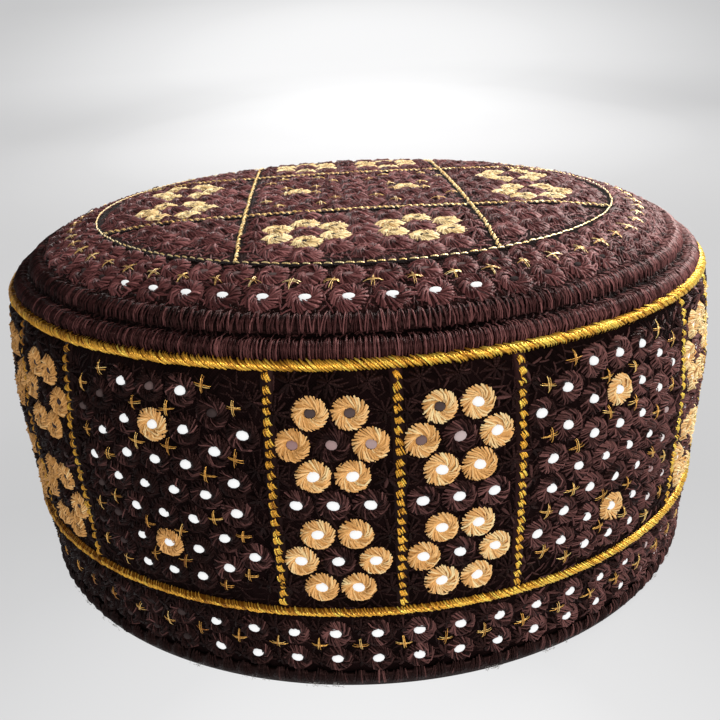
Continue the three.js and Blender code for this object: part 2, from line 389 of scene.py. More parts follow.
# Kinds of eyelet: how far from the middle its threads start, their lift at the stations, and by
# what share its hole is pressed flat
OPEN_EYELET = (1.25, np.array([0.05, 0.6, 1.1, 0.05]), 0.22)
RING_EYELET = (1.15, np.array([0.05, 0.45, 0.9, 0.05]), 0.5)
SLIT_EYELET = (0.8, np.array([0.1, 0.6, 0.95, 0.05]), 0.6)
FLAT_EYELET = (0.85, np.array([0.2, 0.5, 0.6, 0.0]), 0.4)
KNOT_EYELET = (0.7, np.array([0.4, 0.8, 0.95, 0.0]), 0.0)
EYELET_ROOT = 0.24  # the width of a thread at the hole
EYELET_GIRTH = 16.0  # the widths of an eyelet's threads at the rim, added up
PAD_RADII = (1.15, 1.6, 2.6, 0.93)  # the last one is a share of the rim
PAD_LIFT = np.array([0.0, 0.3, 0.62, -0.1])
PAD_UNDER = 1.15  # the lift of the threads that PAD_LIFT is meant for
# painted shade: the padding takes the thread's deepest colour, for the gaps between the threads
PAD_PAINTED_SHADE = 0.06
PAD_SIDES = 12
ASKEW = 0.35  # how far the wall's flat holes lean to either side, in radians
ASKEW_WAVES = (1.7, 2.3)


def pressed(chart, centres, offsets, amount):
    """Presses offsets from the holes' middles flat by a share: on the crown towards its middle,
    on the wall downwards and a little askew.
    """
    if chart is on_crown:
        way = centres / (np.linalg.norm(centres, axis=1, keepdims=True) + 1e-9)
    else:
        askew = ASKEW * np.sin(centres @ ASKEW_WAVES)
        way = np.stack([np.sin(askew), np.cos(askew)], -1)
    way = way.reshape(len(way), *[1] * (offsets.ndim - 2), 2)
    part = (offsets * way).sum(-1, keepdims=True)
    return offsets - amount * part * way


def eyelet_pads(piece, chart, centres, rim, height, share, band):
    """The padding under each eyelet's threads: a low ring round the hole, in the thread's deepest
    colour, as painted shade in the gaps between its threads.
    """
    turn = np.arange(PAD_SIDES) * TURN / PAD_SIDES
    radius = np.array([*PAD_RADII[:3], PAD_RADII[3] * rim])[:, None]
    spot = np.asarray(centres)[:, None, None] + polar(radius, -turn)
    lift = height * PAD_LIFT[:, None] + 0 * turn
    points = chart(spot[..., 0], spot[..., 1], lift)
    shade = np.full(len(centres), PAD_PAINTED_SHADE)
    piece.add(points, shade, share, wraps="columns", band=band, edged=0.0)


def eyelets(piece, chart, centres, rim, threads, seed, share, band=0.0, kind=OPEN_EYELET):
    """Eyelets of satin threads from the hole's edge out to the rim, over a padding.

    Each thread keeps one angle, EYELET_LEAN, to the straight way outward, so it runs in a spiral
    and the whole eyelet swirls. Ends, height, width and lean are jittered thread by thread.
    """
    chance = np.random.default_rng(seed)
    opening, profile, flat = kind
    count = len(centres) * threads
    turn = np.arange(threads) + chance.uniform(-0.35, 0.35, (len(centres), threads))
    turn = (turn * TURN / threads + chance.uniform(0, TURN, (len(centres), 1))).reshape(-1, 1)
    reach = rim * np.repeat(uneven(chance, 0.02, len(centres)), threads)
    reach = (reach * uneven(chance, 0.025, count))[:, None]
    start = opening * (1 + np.abs(chance.normal(0, 0.08, (count, 1))))
    lean = np.tan(EYELET_LEAN + chance.normal(0, 0.15, (count, 1)))
    radius = start * (reach / start) ** EYELET_STATIONS
    middle = np.repeat(np.asarray(centres), threads, axis=0)
    offset = polar(radius, turn - lean * np.log(reach / radius))
    flat = flat * (1 - EYELET_STATIONS[:, None]) ** 2
    path = middle[:, None] + pressed(chart, middle, offset, flat)
    lift = profile * uneven(chance, 0.08, (count, 1))
    lift = lift + chance.normal(0, 0.13, (count, 1)) * np.array([0, 1, 1, 0.3])
    width = np.interp(EYELET_STATIONS, (0, 1), (EYELET_ROOT, EYELET_GIRTH / threads))
    width = width * uneven(chance, 0.14, (count, 1))
    own = np.repeat(chance.normal(0, 0.07, len(centres)), threads)
    shade = np.clip(chance.normal(0.5, 0.2, count) + own, 0, 1)
    piece.add(thread_grid(chart, path, lift, width), shade, share * 0.85, band=band)
    height = profile[2] / PAD_UNDER
    eyelet_pads(piece, chart, centres, rim, height, share * 0.13, band + share * 0.86)


BULGE_RADII = np.array([0.0, 0.5, 0.9, 1.08, 1.16, 1.2])
BULGE_LIFT = np.array([0.62, 0.58, 0.46, 0.30, 0.0, -0.42])
CROWN_BULGE_LIFT = np.array([0.42, 0.40, 0.34, 0.26, 0.0, -0.42])
CREAM_BULGE_LIFT = np.array([0.46, 0.46, 0.44, 0.40, 0.0, -0.42])
BULGE_SIDES = 10
BULGE_SIZE = 1.15  # how much larger a dome is than BULGE_RADII at the cap's front and back
SIDE_SHRINK = 0.28  # how much of that it loses at the sides
DIM_BELOW = 0.6  # a dome with less light than this is smaller too, by DIM_SIZE
DIM_SIZE = 0.85

# Painted shade in the wall's holes: the patches where their painted glow is dimmed, each with its
# middle on the chart, its reach, and the light left in it.
# Next the bearings between which the crown's outer ring glows with painted light; outside them its
# holes are painted dark.
PAINTED_DIM_PATCHES = [
    ((0.5, 67.0), (17.0, 3.5), 0.22),
    ((1.0, 59.6), (15.5, 3.0), 0.42),
    ((18.3, 59.6), (3.0, 3.0), 0.65),
    ((-29.2, 65.3), (3.0, 3.0), 0.12),
    ((-42.9, 69.3), (3.0, 2.5), 0.30),
    ((-60.0, 63.0), (6.0, 4.5), 0.12),
    ((-60.0, 36.0), (6.5, 9.0), 0.08),
    ((-92.0, 46.0), (26.0, 27.0), 0.06),
    ((-75.0, 11.0), (36.0, 8.0), 0.06),
    ((75.0, 37.0), (9.0, 22.0), 0.62),
    ((85.0, 11.0), (16.0, 8.0), 0.5),
    ((112.0, 46.0), (20.0, 30.0), 0.5),
]
PAINTED_LIT_ARC = (-41, 21)
SLIT_LIGHT = 0.3
DARK_LIGHT = 0.03
UNSTEADY = 0.3  # by what share the painted light of the dim holes changes from one to the next
UNSTEADY_WAVES = (5.1, 3.7)


def painted_hole_light(chart, centres):
    """How much painted light each hole's lining glows with, from dark at 0 to white at 1. It is set by
    the hole's place and not by the lamps: painted shade in the dim patches and outside the lit arc.
    """
    x, y = centres.T
    if chart is on_crown:
        bearing = np.degrees(np.arctan2(x, -y))
        lit = (bearing > PAINTED_LIT_ARC[0]) & (bearing < PAINTED_LIT_ARC[1])
        far = np.hypot(x, y)
        light = np.where(far > CROSS_RING_R, 1.0, SLIT_LIGHT * (far > CIRCLE_R))
        light = np.where(lit, light, DARK_LIGHT)
    else:
        light = np.ones(len(centres))
        x = (x + ROUND / 2) % ROUND - ROUND / 2
        for middle, reach, left in PAINTED_DIM_PATCHES:
            inside = ((x - middle[0]) / reach[0]) ** 2 + ((y - middle[1]) / reach[1]) ** 2 < 1
            light = np.where(inside, left, light)
    change = UNSTEADY * np.sin(centres @ UNSTEADY_WAVES) * (light < 1)
    return np.clip(light * (1 + change), 0, 1)


def bulges(holes):
    """The lining pressed up a little into the holes: a low dome in each, with a soft edge, and
    smaller at the cap's sides.

    holes is a list of charts, holes, the domes' lift and the share they are pressed flat by. A
    dome's shade carries the painted light that its finish glows with: a half for a dark hole and one
    for a white one.
    """
    piece = Piece("lining_in_the_holes")
    disc = polar(BULGE_RADII[:, None], -np.arange(BULGE_SIDES) * TURN / BULGE_SIDES)
    for number, (chart, centres, profile, flat) in enumerate(holes):
        light = painted_hole_light(chart, centres)
        side = np.abs(np.sin(centres[:, 0] / WALL_R)) ** 1.5
        size = (BULGE_SIZE - SIDE_SHRINK * side) * np.where(light < DIM_BELOW, DIM_SIZE, 1.0)
        offset = size[:, None, None, None] * disc
        spot = centres[:, None, None] + pressed(chart, centres, offset, flat)
        points = chart(spot[..., 0], spot[..., 1], profile[:, None] + 0 * spot[0, ..., 0])
        piece.add(points, 0.5 + 0.5 * light, 0.9 / len(holes), wraps="columns",
                  band=number / len(holes))
    merged(piece.build(COTTON_PAINTED_GLOW, "lining_cotton"))


STAR_STATIONS = (0.0, 0.5, 1.0)
STAR_ROOT = 0.15  # how far from the middle a tuft's threads start
STAR_LIFT = np.array([1.0, 0.8, 0.15])
STAR_WIDTH = np.array([0.3, 0.7, 0.6])


def stars(piece, chart, centres, reach, threads, seed, share, band=0.0, tone=0.2):
    """Filling tufts: threads that leave one point in all directions and sink at their ends."""
    chance = np.random.default_rng(seed)
    many = (len(centres), threads)
    turn = (np.arange(threads) + chance.uniform(-0.35, 0.35, many)) * TURN / threads
    turn = turn + chance.uniform(0, TURN, (len(centres), 1))
    middle = np.asarray(centres)[:, None]
    start = (middle + polar(STAR_ROOT + 0 * turn, turn)).reshape(-1, 2)
    end = (middle + polar(reach * uneven(chance, 0.14, many), turn)).reshape(-1, 2)
    path = straight(start, end, STAR_STATIONS)
    count = len(path)
    lift = STAR_LIFT * uneven(chance, 0.15, (count, 1))
    width = STAR_WIDTH * uneven(chance, 0.15, (count, 1))
    shade = shades(chance, tone, 0.15, count)
    piece.add(thread_grid(chart, path, lift, width), shade, share, band=band)


CROSS_STATIONS = (0.0, 0.2, 0.5, 0.8, 1.0)
CROSS_LIFT = np.array([0.5, 0.9, 1.0, 0.9, 0.5])
CROSS_WIDTH = np.array([0.12, 0.18, 0.20, 0.18, 0.12])
CROSS_TOPS = (0.95, 0.95, 1.15, 1.15)  # the second pair lies over the first
CROSS_BESIDE = np.array([-0.16, 0.16, -0.16, 0.16])  # how far a pair's threads lie apart


def crosses(piece, chart, centres, aim, arm, seed, share, band=0.0):
    """Gold cross stitches: two doubled threads over each other, askew and arched off the cloth."""
    chance = np.random.default_rng(seed)
    many = (len(centres), 4)
    lean = np.repeat(chance.normal(0, 0.12, (len(centres), 2)), 2, axis=1)
    turn = np.reshape(aim, (-1, 1)) + np.repeat([0, math.pi / 2], 2) + lean
    turn = turn + chance.normal(0, 0.06, many)
    half = arm * uneven(chance, 0.13, many)
    astray = np.repeat(chance.normal(0, 0.12, (len(centres), 2, 2)), 2, axis=1)
    middle = np.asarray(centres)[:, None] + astray
    middle = middle + polar(CROSS_BESIDE, turn + math.pi / 2)
    start = (middle - polar(half, turn)).reshape(-1, 2)
    end = (middle + polar(half, turn)).reshape(-1, 2)
    path = straight(start, end, CROSS_STATIONS)
    count = len(path)
    top = np.tile(CROSS_TOPS, len(centres))[:, None] + chance.normal(0, 0.06, (count, 1))
    lift = CROSS_LIFT * top
    width = CROSS_WIDTH * uneven(chance, 0.15, (count, 1))
    shade = shades(chance, 0.45, 0.25, count)
    piece.add(thread_grid(chart, path, lift, width), shade, share, band=band)


SLANT_STATIONS = np.linspace(0, 1, 5)
SLANT_ARCH = np.sqrt(np.clip(1 - (2 * SLANT_STATIONS - 1) ** 2, 0, 1))


def slanted(piece, chart, starts, ends, rise, width, seed, share, band=0.0, tone=0.5):
    """A row of slanted threads laid over a round core: each goes up a half circle and down again.

    rise gives the lift at a thread's ends and at its middle.
    """
    chance = np.random.default_rng(seed)
    count = len(starts)
    path = straight(starts, ends, SLANT_STATIONS)
    foot, top = rise
    lift = foot + (top - foot) * SLANT_ARCH + chance.normal(0, 0.07, (count, 1))
    wide = width * (0.75 + 0.25 * SLANT_ARCH) * uneven(chance, 0.13, (count, 1))
    shade = shades(chance, tone, 0.2, count)
    piece.add(thread_grid(chart, path, lift, wide), shade, share, band=band)


def ring(piece, s, lift, share):
    """A closed section carried round the cap: s and lift list its points, anticlockwise. Its shade is
    0, the thread's deepest: painted shade for a core that shows only in the gaps between the threads
    over it.
    """
    angle = np.linspace(0, TURN, AROUND, endpoint=False)[:, None]
    points = on_face(angle, np.asarray(s)[None], np.asarray(lift)[None])
    piece.add(points[None], [0.0], share, wraps="both")


HUMP_POINTS = 7
HUMP_FULLNESS = 0.6  # the power of the sine that rounds a ridge: a smaller one makes it fuller
HUMP_SUNK = 0.3


def hump(low, high, foot, top):
    """The section of a rounded ridge between two lengths up the outline, as s and lift."""
    share = np.linspace(0, 1, HUMP_POINTS)
    s = low + (high - low) * share
    lift = foot + (top - foot) * np.sin(math.pi * share) ** HUMP_FULLNESS
    return np.append(s, [high, low]), np.append(lift, [foot - HUMP_SUNK, foot - HUMP_SUNK])


def mirrored(rows):
    """Points from a chart of rows: each distance stands on both sides of the middle line."""
    return [(side * x, z) for z, line in rows for x in line for side in ((1,) if x == 0 else (-1, 1))]


def rosette(x, y, first):
    """The six petals round one middle, the first of them at an angle."""
    return [(x + PETAL * math.cos(first + k * TURN / 6), y + PETAL * math.sin(first + k * TURN / 6))
            for k in range(6)]


def panel_chart():
    """All the stitches of the wall's upper band, as lists of points on the wall's chart."""
    cream, dark, star, cross = [], [], [], []
    singles = [(0.0, z) for z in WIDE_SINGLES]
    for repeat in range(REPEATS):
        start = FIRST_BRAID + repeat * (2 * NARROW + WIDE)
        for middle in (start - NARROW / 2, start + NARROW / 2):
            middle += STITCH_SHIFT
            for z in ROSETTES_Z:
                cream += rosette(middle, z, 0)
                dark.append((middle, z))
            dark += [(middle + x, MIDDLE_ROW_Z) for x in MIDDLE_ROW_X]
            star += [(middle + x, z) for x, z in mirrored(NARROW_STARS)]
        middle = start + NARROW + WIDE / 2 + STITCH_SHIFT
        cream += [(middle + x, z) for x, z in singles]
        dark += [(middle + x, z) for x, z in mirrored(WIDE_ROWS)]
        star += [(middle + x, z) for x, z in mirrored(WIDE_STARS)]
        cross += [(middle + x, z) for x, z in mirrored(WIDE_CROSSES)]
    return cream, dark, star, cross


def band_chart():
    """The eyelets and crosses of the lower band, on the wall's chart."""
    x = BAND_START + np.arange(BAND_COLUMNS) * ROUND / BAND_COLUMNS
    holes = np.concatenate([np.stack([x, np.full_like(x, z)], -1) for z in BAND_ROWS_Z])
    between = x + BAND_CROSS_SHIFT * ROUND / BAND_COLUMNS
    return holes, np.stack([between, np.full_like(x, BAND_CROSS_Z)], -1)


def turned(points, angle):
    """Points of a plan turned about its middle."""
    points = np.asarray(points, float)
    cos, sin = math.cos(angle), math.sin(angle)
    return points @ np.array([[cos, sin], [-sin, cos]])


def crown_ring(radius, shift):
    """Points round the crown, RING_COUNT of them, the bearing counted from the front."""
    angle = math.radians(RING_START) + (np.arange(RING_COUNT) + shift) * TURN / RING_COUNT
    return np.stack([radius * np.sin(angle), -radius * np.cos(angle)], -1)


def lattice():
    """The cream and the dark eyelets in front of the middle square and to its right, up to the
    circle: rows and columns, each second column moved back by half a row.
    """
    cream, dark = [], []
    for k in LATTICE_COLUMNS:
        x = k * LATTICE_ACROSS
        if abs(abs(x) - GRID_OFFSET) < LINE_CLEAR_ACROSS or x < -GRID_OFFSET:
            continue
        for j in LATTICE_ROWS:
            y = -ROSETTE_FAR + (j + 0.5 * (k % 2)) * LATTICE_DOWN
            if math.hypot(x, y) > FIELD_R or y > -GRID_OFFSET - LINE_CLEAR_DOWN:
                continue
            away = math.hypot(abs(x) - ROSETTE_NEAR, y + ROSETTE_FAR)
            petal = PETAL_BAND[0] < away < PETAL_BAND[1] and abs(x) < GRID_OFFSET
            (cream if petal else dark).append((x, y))
    return cream, dark


def square(rows):
    """A wide panel's points laid on the middle square, its height running to the right."""
    middle = np.mean(WIDE_SINGLES)
    return [(SQUARE_SCALE * (z - middle), SQUARE_SCALE * x) for x, z in rows]


def field_chart():
    """The crown's field inside the gold circle, on the crown's plan: the lattice four times, each
    a quarter turn on, and the square in the middle.
    """
    cream, dark, star, cross = [], [], [], []
    petals, others = lattice()
    tufts = [(side * FIELD_STARS_X, y) for side in (-1, 1) for y in FIELD_STARS_Y]
    for quarter in range(4):
        angle = quarter * TURN / 4
        cream += turned(petals, angle).tolist()
        dark += turned(others, angle).tolist()
        star += turned(tufts, angle).tolist()
    cream += square([(0.0, z) for z in WIDE_SINGLES])
    dark += square(mirrored(WIDE_ROWS))
    star += square(mirrored(WIDE_STARS))
    cross += square(mirrored(WIDE_CROSSES))
    return [turned(points, GRID_TURN) for points in (cream, dark, star, cross)]


class Value:
    """A socket of a finish, on which sums are written as Python expressions."""

    def __init__(self, finish, socket):
        self.finish = finish
        self.socket = socket

    def sum(self, operation, first, second=None):
        """Adds a Math node that works on one or two values."""
        values = {0: first} if second is None else {0: first, 1: second}
        return self.finish.node("ShaderNodeMath", {"operation": operation}, values)

    def __add__(self, other):
        return self.sum("ADD", self, other)

    def __radd__(self, other):
        return self.sum("ADD", other, self)

    def __sub__(self, other):
        return self.sum("SUBTRACT", self, other)

    def __rsub__(self, other):
        return self.sum("SUBTRACT", other, self)

    def __mul__(self, other):
        return self.sum("MULTIPLY", self, other)

    def __rmul__(self, other):
        return self.sum("MULTIPLY", other, self)

    def __pow__(self, other):
        return self.sum("POWER", self, other)

    def __abs__(self):
        return self.sum("ABSOLUTE", self)

    def sine(self):
        """A wave, with the value as its angle in radians."""
        return self.sum("SINE", self)


class Finish:
    """A material whose shader has its constants set first and its patterns linked after."""

    def __init__(self, name, **constants):
        self.material = bpy.data.materials.new(name)
        self.material.use_nodes = True
        self.tree = self.material.node_tree
        self.shader = self.tree.nodes["Principled BSDF"]
        for socket, value in constants.items():
            self.shader.inputs[socket.replace("_", " ")].default_value = value

    def node(self, kind, settings, inputs, output=0):
        """Adds a node, sets it up, and feeds its sockets with values or links."""
        made = self.tree.nodes.new(kind)
        for name, value in settings.items():
            if name == "stops":
                self.set_stops(made.color_ramp, value)
            elif name == "shape":
                made.color_ramp.interpolation = value
            else:
                setattr(made, name, value)
        for name, value in inputs.items():
            self.feed(made.inputs[name], value)
        return Value(self, made.outputs[output])

    def set_stops(self, ramp, stops):
        """Gives a ramp its places and colours."""
        while len(ramp.elements) < len(stops):
            ramp.elements.new(0.5)
        for element, (place, colour) in zip(ramp.elements, stops):
            element.position = place
            element.color = (*colour, 1)

    def feed(self, socket, value):
        """Links a value to a socket, or sets the socket to a number or colour."""
        if isinstance(value, Value):
            self.tree.links.new(value.socket, socket)
        else:
            socket.default_value = value

    def attribute(self, name):
        """What the threads carry: their shade, or how far along or across them a point lies."""
        return self.node("ShaderNodeAttribute", {"attribute_name": name}, {}, "Fac")

    def place(self):
        """The point on the cap, in metres."""
        return self.node("ShaderNodeTexCoord", {}, {}, "Object")

    def noise(self, scale, detail=2.0):
        """Noise over the cap, with scale in patches to the metre."""
        inputs = {"Vector": self.place(), "Scale": scale, "Detail": detail}
        return self.node("ShaderNodeTexNoise", {}, inputs, "Fac")

    def ramp(self, factor, stops, shape="LINEAR"):
        """A colour read from stops, each a place and its colour."""
        settings = {"stops": stops, "shape": shape}
        return self.node("ShaderNodeValToRGB", settings, {"Fac": factor}, "Color")

    def mix(self, factor, first, second, blend="MIX"):
        """Mixes two colours; sockets 6 and 7 are the node's colours and output 2 its result."""
        settings = {"data_type": "RGBA", "blend_type": blend}
        return self.node("ShaderNodeMix", settings, {0: factor, 6: first, 7: second}, 2)

    def bump(self, height, strength, distance):
        """A relief too fine for the mesh."""
        inputs = {"Height": height, "Strength": strength, "Distance": distance}
        return self.node("ShaderNodeBump", {}, inputs, "Normal")

    def show(self, **outputs):
        """Links what varies over the surface to the shader, and gives the material."""
        for socket, value in outputs.items():
            self.feed(self.shader.inputs[socket.replace("_", " ")], value)
        return self.material


PLUM_GLOSS = (1.0, 0.5, 0.46, 1)
PATCHES = 45.0  # slow changes of a thread's shade, to the metre
SIDE_PAINTED_SHADE = 0.35  # painted shade: the colour at a thread's sides, as a share of its deepest colour
TWIST = 26.0  # the ribs that a thread's twist makes along it, in radians
FIBRES = 5200.0  # the finest fibres, to the metre
WEAVE = 9000.0  # the threads of the cloth, in radians to the metre


def thread_finish(name, deep, plain, bright, rough, side_light_and_fade=0.0, **constants):
    """Thread: a colour between three shades, with painted shade down its sides, ribbed by its twist.

    side_light_and_fade is how much lighter the shade grows with each metre towards +X: partly painted
    light for the side that the key lamp lights, and partly a guess at dye faded there.
    """
    finish = Finish(name, **constants)
    across = abs(finish.attribute("across"))
    tone = finish.attribute("shade") * 0.8 + finish.noise(PATCHES) * 0.5 - 0.13
    # partly painted light: lighter towards +X, where the key lamp falls, and partly a guess at fading
    if side_light_and_fade:
        way = finish.node("ShaderNodeSeparateXYZ", {}, {"Vector": finish.place()}, "X")
        tone = tone + way * side_light_and_fade
    colour = finish.ramp(tone, [(0.1, deep), (0.5, plain), (0.9, bright)])
    side = (*[part * SIDE_PAINTED_SHADE for part in deep], 1)
    # painted shade: darker towards the thread's sides, where it sinks between its neighbours
    colour = finish.mix(across ** 2.0 * 0.5, colour, side)
    twist = finish.attribute("across") * 2.2 + finish.attribute("along") * TWIST
    fibres = finish.noise(FIBRES, 1.0)
    height = twist.sine() * 0.5 + fibres * 0.7
    return finish.show(
        Base_Color=colour,
        Roughness=rough + fibres * 0.16,
        Normal=finish.bump(height, 0.6, 0.0001),
    )


def ground_finish(name, deep, light):
    """The dark cloth under the stitches: a fine weave with a few lighter threads in it."""
    finish = Finish(name, Specular_IOR_Level=0.05, Specular_Tint=PLUM_GLOSS)
    place = finish.place()
    parts = [finish.node("ShaderNodeSeparateXYZ", {}, {"Vector": place}, axis) for axis in "XYZ"]
    waves = [(part * WEAVE).sine() for part in (parts[0], parts[2], parts[1])]
    weave = waves[0] * waves[1] + waves[2]
    patchy = finish.noise(160.0, 3.0)
    colour = finish.ramp(patchy + weave * 0.08, [(0.3, deep), (0.7, light)])
    return finish.show(
        Base_Color=colour,
        Roughness=0.72 + patchy * 0.2,
        Normal=finish.bump(weave * 0.4 + finish.noise(2600.0) * 1.2, 0.7, 0.0002),
    )


def lining_painted_glow_finish():
    """Pale cotton whose outer side glows of itself with painted light, though it is no lamp: the light
    that shows in the holes of the eyelets.
    Its shade sets that painted light: dark at a half, a painted mauve shade above that and white at
    one. Its base colour darkens with it as painted shade. Its inner side has shade 0.
    """
    finish = Finish("lining cotton with painted glow", Emission_Strength=1.0, Specular_IOR_Level=0.1)
    patchy = finish.noise(160.0, 1.0)
    level = finish.attribute("shade") + patchy * 0.08 - 0.04
    # painted light: the outer side's own glow, set by its shade
    glow = finish.ramp(level, [
        (0.3, (0, 0, 0)), (0.5, (0.003, 0.002, 0.002)), (0.62, (0.05, 0.034, 0.032)),
        (0.72, (0.20, 0.112, 0.108)), (0.85, (0.42, 0.35, 0.34)), (0.96, (0.66, 0.67, 0.675))])
    pale = finish.ramp(finish.noise(900.0, 3.0), [
        (0.3, (0.72, 0.70, 0.68)), (0.7, (0.82, 0.81, 0.79))])
    # painted shade: the outer side's base colour, darker where its painted light is dim
    dim = finish.ramp(level, [
        (0.5, (0.012, 0.008, 0.008)), (0.75, (0.12, 0.085, 0.083)), (1.0, (0.30, 0.30, 0.30))])
    outer = finish.ramp(level, [(0.2, (0, 0, 0)), (0.4, (1, 1, 1))])
    return finish.show(
        Base_Color=finish.mix(outer, pale, dim),
        Roughness=0.8 + patchy * 0.15,
        Emission_Color=glow,
        Normal=finish.bump(finish.noise(3400.0), 0.5, 0.0002),
    )


# Pools of light on the paper: the middle, the reach, and the glow by the square of the share of
# the reach: one close behind the cap, one far behind it and one in front
POOLS = [
    ((0.05, 1.0, 0.0), (0.52, 0.75, 1.0), [
        (0.0, 0.35), (0.08, 0.34), (0.28, 0.22), (0.42, 0.16), (0.55, 0.08), (0.8, 0.02), (1.0, 0.0)]),
    ((0.02, 1.9, 0.1), (0.95, 1.0, 1.0), [
        (0.0, 0.38), (0.1, 0.36), (0.25, 0.26), (0.5, 0.13), (0.75, 0.04), (1.0, 0.0)]),
    ((0.0, -0.125, 0.0), (0.16, 0.16, 0.16), [(0.0, 0.32), (0.12, 0.21), (0.49, 0.06), (1.0, 0.0)]),
]


def floor_finish():
    """Pale studio paper that shines of itself, brighter in a few soft pools."""
    finish = Finish("pale studio paper", Roughness=0.8, Emission_Strength=1.0,
                    Specular_IOR_Level=0.1)
    place = finish.place()
    tone = finish.noise(2.2, 3.0)
    glow = finish.ramp(tone, [(0.3, (0.54, 0.54, 0.545)), (0.7, (0.55, 0.55, 0.555))])
    parts = [finish.node("ShaderNodeSeparateXYZ", {}, {"Vector": place}, axis) for axis in "XYZ"]
    for middle, reach, stops in POOLS:
        terms = [((part - m) * (1 / r)) ** 2.0 for part, m, r in zip(parts, middle, reach)]
        stops = [(share, (light,) * 3) for share, light in stops]
        pool = finish.ramp(terms[0] + terms[1] + terms[2], stops, "B_SPLINE")
        glow = finish.mix(1.0, glow, pool, "ADD")
    colour = finish.ramp(tone, [(0.3, (0.014, 0.014, 0.0145)), (0.7, (0.017, 0.017, 0.017))])
    return finish.show(Base_Color=colour, Emission_Color=glow)


# In these finishes the number after the roughness, where there is one, is side_light_and_fade: partly
# painted light towards +X, partly a guess at fading.
CREAM = thread_finish(
    "cream thread", (0.57, 0.28, 0.080), (0.87, 0.48, 0.175), (0.96, 0.78, 0.42), 0.5, 3.2,
    Specular_IOR_Level=0.2)
# A paler, lighter copy of the cream for the crown: painted light for the strong light that falls on
# the crown.
LIT_CREAM = thread_finish(
    "cream thread of the crown, painted lit", (0.62, 0.38, 0.15), (0.90, 0.68, 0.34), (0.97, 0.80, 0.47), 0.5,
    Specular_IOR_Level=0.2)
PLUM = thread_finish(
    "dark plum thread", (0.002, 0.0009, 0.0008), (0.0115, 0.0046, 0.0043), (0.185, 0.080, 0.074),
    0.38, 3.4, Specular_IOR_Level=0.16, Specular_Tint=PLUM_GLOSS)
# A lighter, redder copy of the dark plum for the crown: painted light for the strong light that falls
# on the crown.
LIT_PLUM = thread_finish(
    "plum thread of the crown, painted lit", (0.022, 0.0070, 0.0070), (0.115, 0.038, 0.038),
    (0.270, 0.106, 0.104), 0.45, 0.3, Specular_IOR_Level=0.2, Specular_Tint=PLUM_GLOSS)
SATIN = thread_finish(
    "dark satin thread", (0.002, 0.0009, 0.0009), (0.032, 0.0098, 0.0100), (0.215, 0.084, 0.081),
    0.42, 3.0, Specular_IOR_Level=0.2, Specular_Tint=PLUM_GLOSS)
GOLD = thread_finish(
    "gold thread", (0.30, 0.11, 0.008), (0.90, 0.46, 0.050), (1.0, 0.77, 0.13), 0.3, 2.6,
    Metallic=0.65)
TAN_GOLD = thread_finish(
    "tan gold thread", (0.26, 0.09, 0.012), (0.88, 0.45, 0.09), (1.0, 0.74, 0.28), 0.32, 1.6,
    Metallic=0.55)
PALE_GOLD = thread_finish(
    "pale gold thread", (0.30, 0.13, 0.03), (0.90, 0.58, 0.19), (1.0, 0.85, 0.48), 0.35, 0.8,
    Metallic=0.35)
FRAY = thread_finish(
    "frayed cotton", (0.20, 0.19, 0.18), (0.40, 0.39, 0.38), (0.66, 0.65, 0.63), 0.8)
GROUND = ground_finish("wall cloth", (0.0015, 0.0009, 0.0009), (0.006, 0.0027, 0.0028))
# The crown's cloth is a lighter copy of the wall's: painted light for the crown.
LIT_CROWN_GROUND = ground_finish("crown cloth, painted lit", (0.006, 0.0028, 0.0026), (0.022, 0.0095, 0.009))
COTTON_PAINTED_GLOW = lining_painted_glow_finish()
PAPER = floor_finish()

GROUND_STEP = 3.4  # between the ground's own points, where it has no hole
GROUND_THICK = 0.35
HOLE_SIDES = 10
HOLE_CLEAR = 0.9  # how far the ground's own points keep from a hole's edge
SHARE_INSIDE = 0.9  # a face whose middle is this near to a hole's middle, in its radii, is open


def pierced_cloth(name, chart, outline, holes, inner, finish, stands_for):
    """A sheet with round holes: a flat net of triangles between its outline, the holes' edges
    and a lattice of points, carried over to the cap by a chart and given its thickness.
    """
    corner = np.arange(HOLE_SIDES) * TURN / HOLE_SIDES
    edges_of_holes = (holes[:, None] + polar(HOLE_R + 0 * corner, corner)).reshape(-1, 2)
    inner = inner[nearest(inner, holes) > HOLE_R + HOLE_CLEAR]
    flat = np.concatenate([outline, edges_of_holes, inner])
    loop = np.arange(len(outline))
    first = len(outline) + np.arange(len(holes))[:, None] * HOLE_SIDES
    around = np.arange(HOLE_SIDES)
    pairs = np.concatenate([
        np.stack([loop, np.roll(loop, -1)], -1),
        np.stack([first + around, first + np.roll(around, -1)], -1).reshape(-1, 2),
    ])
    triangles = geometry.delaunay_2d_cdt(
        [Vector(point) for point in flat.tolist()], pairs.tolist(), [], 1, 1e-4)
    flat = np.array([tuple(point) for point in triangles[0]])
    faces = np.array(triangles[2])
    faces = faces[nearest(flat[faces].mean(1), holes) > HOLE_R * SHARE_INSIDE]
    mesh = bpy.data.meshes.new(name)
    points = chart(flat[:, 0], flat[:, 1], np.zeros(len(flat)))
    mesh.from_pydata(points.tolist(), [], faces.tolist())
    with net_of(mesh) as net:
        bmesh.ops.remove_doubles(net, verts=net.verts, dist=1e-6)
        loose = [point for point in net.verts if not point.link_faces]
        bmesh.ops.delete(net, geom=loose, context="VERTS")
    mesh.shade_smooth()
    piece = dress(mesh, finish, "dark_embroidery", stands_for)
    wall = piece.modifiers.new("cloth thickness", "SOLIDIFY")
    wall.thickness = GROUND_THICK * MM
    wall.offset = -1


